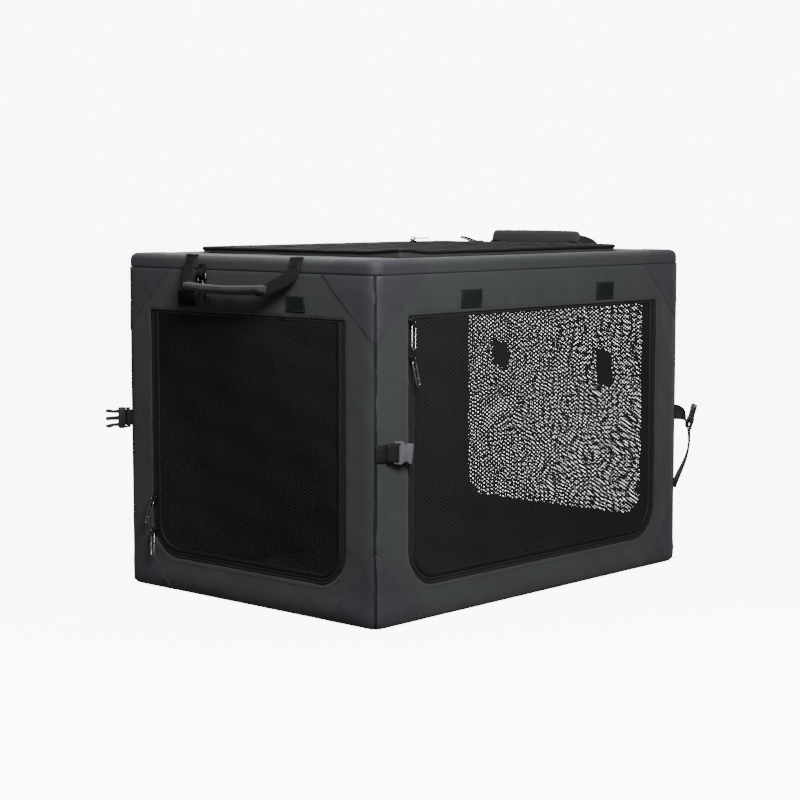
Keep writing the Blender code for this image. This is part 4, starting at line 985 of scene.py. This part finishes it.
# Carry handles
def build_handle(prefix, out, angle, turn, sag, near, far, twist):
    """near and far are how far the grip reaches to each side of the middle. Angles are in degrees."""
    angle = math.radians(angle)
    diagonal = (EDGE + 0.0023) * math.sqrt(0.5)
    root = Vector((out * (HALF_L - EDGE + diagonal), 0.0, HEIGHT - EDGE + diagonal))
    down = Vector((out * math.sin(angle), 0.0, -math.cos(angle)))
    across = Vector((0.0, 1.0, 0.0))
    normal = down.cross(across)
    body = prefix + "_handle"

    def at(fall, aside, lift=0.0):
        return root + down * fall + across * aside + normal * lift

    webbing = Pile()
    thread = Pile()
    for side, end in zip(SIDES, (near, far)):
        short = 0.075 - end
        corners = [(-0.0020, 0.0900), (0.006, 0.0902), (0.014, 0.0898), (0.022, 0.088 - 0.10 * short),
                   (0.030, 0.084 - 0.45 * short), (0.037, end + 0.0045), (0.0415, end - 0.004),
                   (0.0425, end - 0.015)]
        flat = curve_points([(x, y, 0.0) for x, y in corners], 26)
        points = [at(p.x, side * p.y, 0.0012 * math.sin(i / 25 * math.pi)) for i, p in enumerate(flat)]
        sides = []
        for i in range(26):
            along = flat[min(i + 1, 25)] - flat[max(i - 1, 0)]
            in_plane = Vector((-along.y, along.x, 0.0)).normalized()
            sides.append(down * in_plane.x + across * (side * in_plane.y) + normal * twist * (i / 25))
        ribbon(webbing, points, sides, 0.0205, 0.0020,
               lambda t: 1.0 - 0.42 * max(0.0, (t - 0.35) / 0.65) ** 1.5)
        foot = side * HANDLE_FOOT
        tube(webbing, [at(-0.0006, foot + k * 0.0051) for k in range(-2, 3)], 0.0013)
        for fall, aside, fall_end, aside_end in mm((5.5, -8.5, 5.5, 8.5), (9.0, -8.5, 9.0, 8.5),
                                                   (5.0, -8.5, 15.0, -8.5), (5.0, 8.5, 15.0, 8.5)):
            ends = at(fall, foot + aside, -0.0010), at(fall_end, foot + aside_end, -0.0010)
            sewn(thread, *ends, -normal)
    settle(webbing.build(body + "_webbing", WEBBING), body, (body + "_strap",), False)
    settle(thread.build(body + "_stitching", THREAD), body, fold=False)
    build_grip(prefix, at(0.042, 0.0), down, sag, near, far, Matrix.Rotation(math.radians(turn), 3, "Y"), out)


def build_grip(prefix, reach, down, sag, near, far, turn, seed):
    """The fabric sleeve round the webbing, closed with a lap, and its four rows of stitches."""
    body = prefix + "_handle"
    rings, around = 61, 36
    length = near + far
    across = Vector((0.0, 1.0, 0.0))
    verts = []
    uvs = []
    for i in range(rings):
        share = i / (rings - 1)
        y = -near + share * length
        pinch = 1.0 - 0.30 * max(0.0, 1 - min(share, 1 - share) * length / 0.005) ** 2
        centre = reach + across * y + down * (sag * (1 - (2 * share - 1) ** 2) - sag * 0.45)
        for k in range(around):
            a = math.tau * k / around
            c, s = math.cos(a), math.sin(a)
            wide = GRIP_WIDE * math.copysign(abs(c) ** 0.72, c)
            thin = GRIP_THIN * math.copysign(abs(s) ** 0.80, s)
            lap = 1 + GRIP_LAP / 0.006 if 0.02 < k / around < 0.46 else 1.0
            wobble = 1 + 0.035 * noise.noise(Vector((y * 55, c * 1.6, s * 1.6 + seed)))
            wobble += 0.02 * noise.noise(Vector((y * 190, c, s)))
            verts.append(centre + turn @ Vector((wide * pinch * wobble, 0.0, thin * pinch * lap * wobble)))
            uvs.append((y, a * 0.008))
    grip = Pile()
    grip.add(verts, loft(rings, around), uvs)
    settle(grip.build(body + "_sleeve", GRIP, angle=60), body, (body + "_grip",), False)
    rows = Pile()
    for k in (1, 16, 19, 34):
        for i in range(3, rings - 4):
            first, second = verts[i * around + k], verts[(i + 1) * around + k]
            away = first - reach - across * (-near + length * i / (rings - 1))
            away.y = 0.0
            stitch(rows, first, first.lerp(second, 0.75), away.normalized(), 0.0006, 0.0004)
    settle(rows.build(prefix + "_sleeve_stitching", THREAD), body, fold=False)


# Snap hooks on their webbing tabs
def build_hook(prefix, matrix, turn):
    """Tab, swivel hook and gate. X is the hook's width, Y its hanging direction and Z off the cover."""
    body = prefix + "_hook"
    tab = Pile()
    path = mm((-12.5, -2.8), (-8, -2.7), (-4, -2.9), (0, -3.0))
    path += arc((0.0, 0.0), 0.0030, -QUARTER, QUARTER)[1:-1]
    path += mm((0, 3.0), (-3.5, 2.2), (-7, -0.8), (-12.0, -1.0))
    points = curve_points([(0.0, y, z) for y, z in path], 34)
    width, _, out = matrix.to_3x3().transposed()
    ribbon(tab, [matrix @ p for p in points], [width] * len(points), 0.0100, 0.0015)
    for row in (-0.0105, -0.0080):
        ends = [matrix @ Vector((x, row, -0.0002)) for x in (-0.004, 0.004)]
        sewn(tab, *ends, out, 0.0024)
    settle(tab.build(body + "_webbing", WEBBING), body, (body + "_tab",), False)
    matrix = matrix @ turn

    def wire(pile, points, radius=HOOK_WIRE, sides=12, **more):
        tube(pile, [matrix @ Vector(p) for p in points], radius, sides, **more)

    hook = Pile()
    eye = rounded((-0.0070, 0.0), (0.0070, 0.0080), (HOOK_WIRE,) * 4, (5,) * 4, 1)
    wire(hook, [(x, y, 0.0) for x, y in eye], closed=True)
    barrel = mm(*[(0, y, 0) for y in (7.0, 7.6, 8.0, 8.8, 9.6, 10.4, 11.2, 12.0, 12.6, 13.0)])
    shape = (0.75, 0.95, 1.0, 1.0, 0.82, 0.82, 1.0, 1.0, 0.92, 0.7)
    wire(hook, barrel, 0.0026, 16, taper=lambda t: shape[min(9, int(round(t * 9)))])
    half, far = 0.0055, 0.0350
    bend = [(0.0, 0.0125), (0.0030, 0.0150), (half, 0.0190), (half, 0.0240), (half, far - half),
            (half * 0.72, far - half * 0.30), (0.0, far)]
    bend += [(-x, y) for x, y in bend[-2:-4:-1]]
    wire(hook, curve_points([(x, y, 0.0) for x, y in bend], 40), taper=lambda t: 1.15 - 0.2 * t)
    wire(hook, curve_points(mm((0, 12.5, 0), (-2.8, 14.5, 0), (-5.5, 17.1, 0), (-5.5, 18.5, 0)), 10))
    settle(hook.build(body + "_metal", GUNMETAL), body, (body,), False)
    gate = Pile()
    wire(gate, [(-half, 0.0188 + 0.0090 * i / 8, 0.0) for i in range(9)], 0.0011, 10)
    wire(gate, [(-half - 0.0011 * t, 0.0250, 0.0) for t in (0.0, 0.6, 1.0, 1.5, 1.9)], 0.0012, 10,
         taper=lambda t: 0.75 if t < 0.6 else (1.1 if t < 0.9 else 0.8))
    settle(gate.build(body + "_latch", CHROME), prefix + "_gate", (body + "_gate",), False)


# Holding straps and their buckles
def buckle_head(pile, matrix):
    """The bar for the webbing with its two rounded arms."""
    tube(pile, [matrix @ Vector((0.0, -0.0122 + 0.0244 * i / 6, 0.0)) for i in range(7)], 0.0014, 12)
    for side in SIDES:
        outline = mm((-2.8, 10.6), (8.0, 10.6), (8.0, 12.8), (-1.6, 12.8), (-2.8, 11.9))[::side]
        slab(pile, [(x, side * y) for x, y in outline], -0.0021, 0.0021, matrix, 0.0005)


def buckle_ridges(pile, matrix, places, level):
    for x in places:
        tube(pile, [matrix @ Vector((x, -0.0085 + 0.017 * i / 6, level)) for i in range(7)], 0.00035, 6)


def build_socket(name, matrix, plastic):
    """The buckle half with the mouth."""
    shell = Pile()
    outline = mm((4.8, -12.8), (6.2, -13.5), (8.0, -13.0), (10.4, -11.3), (12.8, -9.8), (15.0, -9.1),
                 (17.2, -9.3), (19.0, -10.4), (20.6, -11.6), (24.6, -11.8), (25.5, -11.0))
    slab(shell, outline + [(x, -y) for x, y in reversed(outline)], -0.0039, 0.0039, matrix, 0.0009)
    made = shell.build(name + "_shell", plastic)
    cutter = Pile()
    mouth = mm((10.8, -8.2), (20.0, -8.2), (40.0, -10.0), (40.0, 10.0), (20.0, 8.2), (10.8, 8.2))
    slab(cutter, mouth, -0.0025, 0.0025, matrix, 0.0003)
    guide = cutter.build(name + "_cutter")
    cut = made.modifiers.new("mouth", "BOOLEAN")
    cut.object = guide
    cut.solver = "EXACT"
    bake(made)
    bpy.data.objects.remove(guide, do_unlink=True)
    head = Pile()
    buckle_head(head, matrix)
    buckle_ridges(head, matrix, (0.0205, 0.0219, 0.0233), 0.0039)
    made = smooth(join(name + "_moulding", [made, head.build(name + "_head", plastic)]), 35)
    settle(made, name, (name,), False)


def build_plug(name, matrix):
    """The buckle half with the prongs."""
    pile = Pile()
    buckle_head(pile, matrix)
    base = mm((5.2, -13.0), (7.2, -13.5), (12.5, -13.5), (13.5, -11.8))
    slab(pile, base + [(x, -y) for x, y in reversed(base)], -0.0025, 0.0025, matrix, 0.0007)
    prong = mm((12.5, 6.2), (20.0, 6.4), (27.0, 7.2), (31.5, 8.4), (30.8, 10.6), (28.0, 12.0), (25.8, 11.8),
               (21.5, 10.2), (12.5, 10.4))
    tongue = mm((12.5, -2.6), (30.0, -2.2), (31.3, 0), (30.0, 2.2), (12.5, 2.6))
    for outline in ([(x, -y) for x, y in reversed(prong)], prong, tongue):
        slab(pile, outline, -0.0021, 0.0021, matrix, 0.0005)
    buckle_ridges(pile, matrix, (0.0085, 0.0100), 0.0025)
    settle(pile.build(name + "_moulding", BUCKLE, angle=35), name, (name,), False)


def build_strap(name, points, sides, thickness, seams=(), fold=False):
    pile = Pile()
    ribbon(pile, points, sides, STRAP_WIDTH, thickness)
    for start, end, out in seams:
        sewn(pile, start, end, out)
    settle(pile.build(name + "_webbing", WEBBING), "mid_straps", (name,), fold)


def build_socket_strap(side, sign, start, end, lean, plastic):
    """A strap that follows a corner, runs straight and loops round its socket's bar."""
    middle = CORNER + 0.0003 + STRAP / 2
    lap = arc((sign * (HALF_L - CORNER), sign * (HALF_W - CORNER)), middle, start, end, 8)
    last = Vector((*lap[-1], 0.0))
    aside = Vector((math.cos(end), math.sin(end), 0.0))
    way = Vector((-float(sign), 0.0, 0.0))
    eye = last + way * 0.012 + aside * 0.0035
    path = [Vector((*p, 0.0)) for p in lap] + [last + way * 0.004, last + way * 0.008]
    for i in range(11):
        a = math.pi * i / 10
        path.append(eye - aside * (0.0033 * math.cos(a)) + way * (0.0033 * math.sin(a)))
    path += [eye + aside * 0.0026 - way * 0.0045, last - way * 0.001 + aside * 0.0024]
    points = curve_points([(p.x, p.y, STRAP_Z) for p in path], 70)
    seams = []
    for shift in (0.0, 0.0028):
        foot = last + way * shift + aside * 0.0035
        seams.append((*[foot + Vector((0, 0, STRAP_Z + z)) for z in (-0.008, 0.008)], aside))
    build_strap("strap_" + side, points, [UP] * 70, STRAP * 0.85, seams)
    matrix = axes((eye.x, eye.y, STRAP_Z), (way.x, 0.0, -lean), (lean, 0.0, 1.0))
    build_socket("buckle_socket_" + side, matrix, plastic)


def build_back_left_strap():
    """A short loop on the edge with a plug that stands away from it."""
    angle = math.radians(166)
    heading = Vector((math.cos(angle), math.sin(angle), 0.0))
    side = Vector((-heading.y, heading.x, 0.0))
    diagonal = Vector((-1, 1, 0)).normalized()
    root = Vector((-(HALF_L - CORNER), HALF_W - CORNER, 0.0)) + diagonal * (CORNER + 0.0003)
    eye = root + heading * (0.0044 + STRAP)
    path = [root - diagonal * 0.001, root + heading * 0.0012]
    for i in range(13):
        a = -2.6 + 5.2 * i / 12
        path.append(eye + heading * (0.0034 * math.cos(a)) + side * (0.0034 * math.sin(a)))
    path.append(root + heading * 0.0016 + side * 0.0006)
    lift = STRAP_Z + 0.010
    points = curve_points([(p.x, p.y, lift) for p in path], 60)
    build_strap("strap_back_left", points, [UP] * 60, STRAP * 0.8)
    build_plug("buckle_plug_back_left", axes((eye.x, eye.y, lift), heading, UP))


def build_front_right_strap():
    """A strap that bends down off the edge to its plug, with a loose tail below."""
    up = Vector(UP)
    diagonal = Vector((1, -1, 0)).normalized()
    level = Vector((-diagonal.y, diagonal.x, 0.0))
    root = Vector((HALF_L - CORNER, -(HALF_W - CORNER), 0.0))
    root = root + diagonal * (CORNER + 0.0003 + STRAP / 2) + up * STRAP_Z
    out, drop = 0.0195, 0.020
    seat = 0.0014 + STRAP / 2 + 0.0003
    points = []
    sides = []
    for i in range(25):
        turn = i / 24 * QUARTER
        away = out * math.sin(turn) - seat * i / 24
        points.append(root + diagonal * away - up * (drop * (1 - math.cos(turn))))
        sides.append(up * math.cos(turn) + level * math.sin(turn))
    build_strap("strap_front_right", points, sides, STRAP * 0.9)
    lean = math.radians(14)
    hanging = up * math.cos(lean) + diagonal * math.sin(lean)
    build_plug("buckle_plug_front_right", axes(root + diagonal * out - up * drop, hanging, level))
    points = []
    sides = []
    for i in range(41):
        share = i / 40
        away = out * (1 - share) ** 2 + 0.015 * math.sin(share * math.pi) * (1 - share / 2)
        points.append(root + diagonal * away - up * (drop + seat + 0.079 * share))
        sides.append(level + diagonal * 0.12 * math.sin(share * 5.0))
    end = points[-3] + diagonal * 0.0011
    seam = (end - level * 0.008, end + level * 0.008, diagonal)
    build_strap("strap_tail", points, sides, STRAP * 0.85, [seam], True)


def build_net_tabs():
    """Two hook-and-loop tabs that hold the right end's net when it is rolled up."""
    pile = Pile()
    thread = Pile()
    for y, low, high in ((0.0925, 0.247, 0.282), (-0.094, 0.231, 0.279)):
        points = [(HALF_L - 0.0040 + 0.0006 * math.sin(i), y + 0.0012 * math.sin(i * 0.7),
                   high - (high - low) * i / 9) for i in range(10)]
        ribbon(pile, points, [(0, 1, 0.03)] * 10, 0.026, 0.0016)
        for row in (high - 0.003, high - 0.006):
            sewn(thread, (HALF_L - 0.0049, y - 0.011, row), (HALF_L - 0.0049, y + 0.011, row), (-1, 0, 0))
    settle(pile.build("right_end_door_tabs", HOOK_LOOP), "right_end_door")
    settle(thread.build("right_end_door_tab_stitching", THREAD), "right_end_door")


# The padded floor mat
def build_mat():
    low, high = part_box("floor_mat")
    half_x, half_y = (high.x - low.x) / 2 - 0.004, (high.y - low.y) / 2 - 0.004
    nx, ny = 66, 46
    bottom, top = low.z + 0.0006, low.z + 0.0058
    verts = [((-1 + 2 * i / nx) * half_x, (-1 + 2 * j / ny) * half_y, level)
             for level in (bottom, top) for j in range(ny + 1) for i in range(nx + 1)]
    row = nx + 1
    layer = row * (ny + 1)
    faces = []
    for a in [j * row + i for j in range(ny) for i in range(nx)]:
        faces.append((a, a + row, a + row + 1, a + 1))
        faces.append((layer + a, layer + a + 1, layer + a + row + 1, layer + a + row))
    rim = list(range(row)) + [j * row + nx for j in range(1, ny + 1)]
    rim += [ny * row + i for i in range(nx - 1, -1, -1)] + [j * row for j in range(ny - 1, 0, -1)]
    faces += [(a, b, layer + b, layer + a) for a, b in zip(rim, rim[1:] + rim[:1])]
    mat = new_object("floor_mat_pad", build_mesh("floor_mat_pad", verts, faces), MAT_CLOTH)
    swell(mat, bottom)
    quilt(mat, low.z)
    settle(smooth(mat, 60), "base", ("floor_mat",), False)
    edge = Pile()
    ring = resample([(-half_x, -half_y), (half_x, -half_y), (half_x, half_y), (-half_x, half_y)], 0.006, True)
    level = low.z + 0.0032
    points = [(p.x * 1.002, p.y * 1.003, level + 0.0004 * noise_at(p.x, p.y, 0.02, 3.0)) for p in ring]
    tube(edge, points, 0.0024, closed=True)
    settle(edge.build("floor_mat_piping", PIPING), "base", fold=False)


def swell(mat, bottom):
    """Blows the mat up with a short cloth simulation and keeps the result."""
    before = np.array([v.co for v in mat.data.vertices])
    group = mat.vertex_groups.new(name="pinned")
    group.add([v.index for v in mat.data.vertices if v.co.z < bottom + 1e-5], 1.0, "REPLACE")
    cloth = mat.modifiers.new("cloth", "CLOTH")
    for key, value in {"quality": 6, "mass": 0.2, "tension_stiffness": 12, "compression_stiffness": 12,
                       "bending_stiffness": 0.8, "vertex_group_mass": "pinned", "use_pressure": True,
                       "uniform_pressure_force": 4.0}.items():
        setattr(cloth.settings, key, value)
    cloth.settings.effector_weights.gravity = 0.0
    cloth.collision_settings.use_self_collision = False
    cloth.point_cache.frame_start = 1
    cloth.point_cache.frame_end = 20
    for step in range(1, 21):
        bpy.context.scene.frame_set(step)
    bake(mat)
    bpy.context.scene.frame_set(1)
    move = np.array([v.co for v in mat.data.vertices]) - before
    length = np.linalg.norm(move, axis=1, keepdims=True)
    after = before + move * np.minimum(1.0, 0.0055 / np.maximum(length, 1e-9))
    mat.data.vertices.foreach_set("co", after.ravel())
    mat.data.update()


def quilt(mat, floor):
    """Draws in the sewn channels of the mat and softens it with small creases."""
    refine = mat.modifiers.new("finer", "SUBSURF")
    refine.levels = 1
    refine.render_levels = 1
    bake(mat)
    for vert in mat.data.vertices:
        x, y, z = vert.co
        if z < floor + 0.003:
            continue
        channel = min(abs((value / QUILT + 0.5) % 1.0 - 0.5) * QUILT for value in (x, y))
        groove = 0.0030 * math.exp(-(channel / 0.0045) ** 2)
        crease = 0.0010 * noise_at(x, y, 0.03, 61.0) + 0.0005 * noise_at(x, y, 0.010, 63.0)
        vert.co.z = max(floor + 0.003, z - groove + crease)


# Hard pieces that keep the CAD's shape
def finish_frame():
    corners = [side + "_" + end for side in ("front", "back") for end in ("left", "right")]
    tubes = [level + "_post_" + corner for level in ("lower", "upper") for corner in corners]
    tubes += ["base_ring", "top_ring"]
    brackets = [level + "_bracket_" + corner for level in ("base", "top") for corner in corners]
    for names, kind in ((tubes, TUBE), (brackets, MOULDED)):
        for name in names:
            data = frame["nodes"][name].data
            data.materials.clear()
            data.materials.append(kind)


# Camera, light and studio. The camera was fitted to the edges of the photo's box
CAMERA_PLACE = (-1.8797, -1.6973, 0.4911)
CAMERA_TURN = (90 - 5.962, 0.0, -47.587)


def glowing(name, strength):
    """A pale studio surface that is bright to the camera."""
    made = bpy.data.materials.new(name)
    made.use_nodes = True
    fill(made.node_tree.nodes["Principled BSDF"], {
        "Base Color": (0.85, 0.85, 0.85, 1.0), "Roughness": 1.0, "Specular IOR Level": 0.0,
        "Emission Color": (1.0, 1.0, 1.0, 1.0), "Emission Strength": strength})
    return made


def lamp(name, place, target, power, size):
    light = bpy.data.lights.new(name, "AREA")
    light.energy = power
    light.shape = "RECTANGLE"
    light.size = size
    light.size_y = size
    item = new_object(name, light)
    item.location = place
    item.rotation_mode = "QUATERNION"
    item.rotation_quaternion = (Vector(target) - Vector(place)).to_track_quat("-Z", "Y")


def build_stage():
    camera = bpy.data.cameras.new("camera")
    camera.lens = 87.85
    camera.sensor_width = 36.0
    camera.clip_end = 50.0
    holder = new_object("camera", camera)
    holder.location = CAMERA_PLACE
    holder.rotation_euler = [math.radians(angle) for angle in CAMERA_TURN]
    bpy.context.scene.camera = holder
    corners = [(x, y, 0.0) for x, y in square(0.0, 0.0, 60.0, 60.0)]
    floor = build_mesh("studio_floor", corners, [(0, 1, 2, 3)])
    floor = new_object("studio_floor", floor, glowing("pale_floor", 8.4))
    floor.location.z = -0.0006
    dome = bpy.data.meshes.new("studio_backdrop")
    shape = bmesh.new()
    bmesh.ops.create_uvsphere(shape, u_segments=48, v_segments=24, radius=20.0)
    shape.to_mesh(dome)
    shape.free()
    dome = new_object("studio_backdrop", dome, glowing("pale_backdrop", 9.5))
    for item in (floor, dome):
        item.visible_diffuse = False
        item.visible_glossy = False
        item.visible_shadow = False
    world = bpy.data.worlds.new("studio")
    bpy.context.scene.world = world
    world.use_nodes = True
    fill(world.node_tree.nodes["Background"], {"Color": (1.0, 1.0, 1.0, 1.0), "Strength": 0.18})
    lamp("key", (-0.85, -1.16, 1.26), (-0.2, -0.2, 0.30), 48.0, 0.55)
    lamp("back", (1.10, 1.50, 0.90), (0.0, 0.2, 0.2), 9.0, 0.9)
    lamp("top", (0.15, 0.35, 1.75), (0.0, 0.0, 0.4), 17.0, 1.0)


END_SQUARES = (square(-0.100, 0.367, 0.030, 0.019), square(0.089, 0.367, 0.030, 0.019))
build_wall("front", FRONT_DOOR, (square(-0.134, 0.372, 0.036, 0.022), square(0.128, 0.372, 0.036, 0.022)))
build_wall("back")
build_wall("left", END_DOOR, END_SQUARES)
build_wall("right", END_DOOR, END_SQUARES)
build_trays()
# The nets' pitches differ, because equal ones give a false pattern where one net is seen through another
build_door("front", FRONT_DOOR, "front_door", pitch=0.0046, strand=0.0030)
build_door("left", END_DOOR, "left_end_door", pitch=0.0037, strand=0.0016)
build_door("right", END_DOOR, "right_end_door", pitch=0.0028, strand=0.0014)
build_roof_door()
build_corner_seams()
build_slider("front_upper", (-0.239, -HALF_W, 0.347), DOWN, (0, -1, 0), swing=-14)
build_slider("front_lower", (-0.239, -HALF_W, 0.306), DOWN, (0, -1, 0), swing=3)
build_slider("left_upper", (-HALF_L, 0.164, 0.112), DOWN, (-1, 0, 0), swing=-10)
build_slider("left_lower", (-HALF_L, 0.164, 0.072), DOWN, (-1, 0, 0), swing=12)
build_slider("right_end", (HALF_L, -0.164, 0.300), DOWN, (1, 0, 0), swing=5)
build_slider("roof", (0.190, 0.168, ROOF_DOOR[3]), (1, 0, 0), UP, swing=-6, lean=0)
build_handle("left", -1, angle=27, turn=12, sag=0.0030, near=0.058, far=0.079, twist=0.22)
build_handle("right", 1, angle=250, turn=95, sag=0.0015, near=0.075, far=0.075, twist=2.6)
build_hook("left", axes((-HALF_L - 0.0039, 0.069, HEIGHT - 0.0225), (0, 1, 0), DOWN),
           Matrix.Rotation(math.radians(12), 4, "Z"))
build_hook("right", Matrix.Translation((HALF_L - 0.015, 0.122, HEIGHT + 0.0039)),
           Matrix.Rotation(math.radians(14), 4, "X"))
# The front buckle's socket takes the paler copy of the buckle plastic, a painted highlight; the back one
# keeps the black plastic
build_socket_strap("front_left", -1, 2.5 * QUARTER, 3 * QUARTER, lean=0.14, plastic=BUCKLE_PAINTED_HIGHLIGHT)
build_socket_strap("back_right", 1, 0.5 * QUARTER, QUARTER, lean=0.0, plastic=BUCKLE)
build_back_left_strap()
build_front_right_strap()
build_net_tabs()
build_mat()
finish_frame()
build_stage()
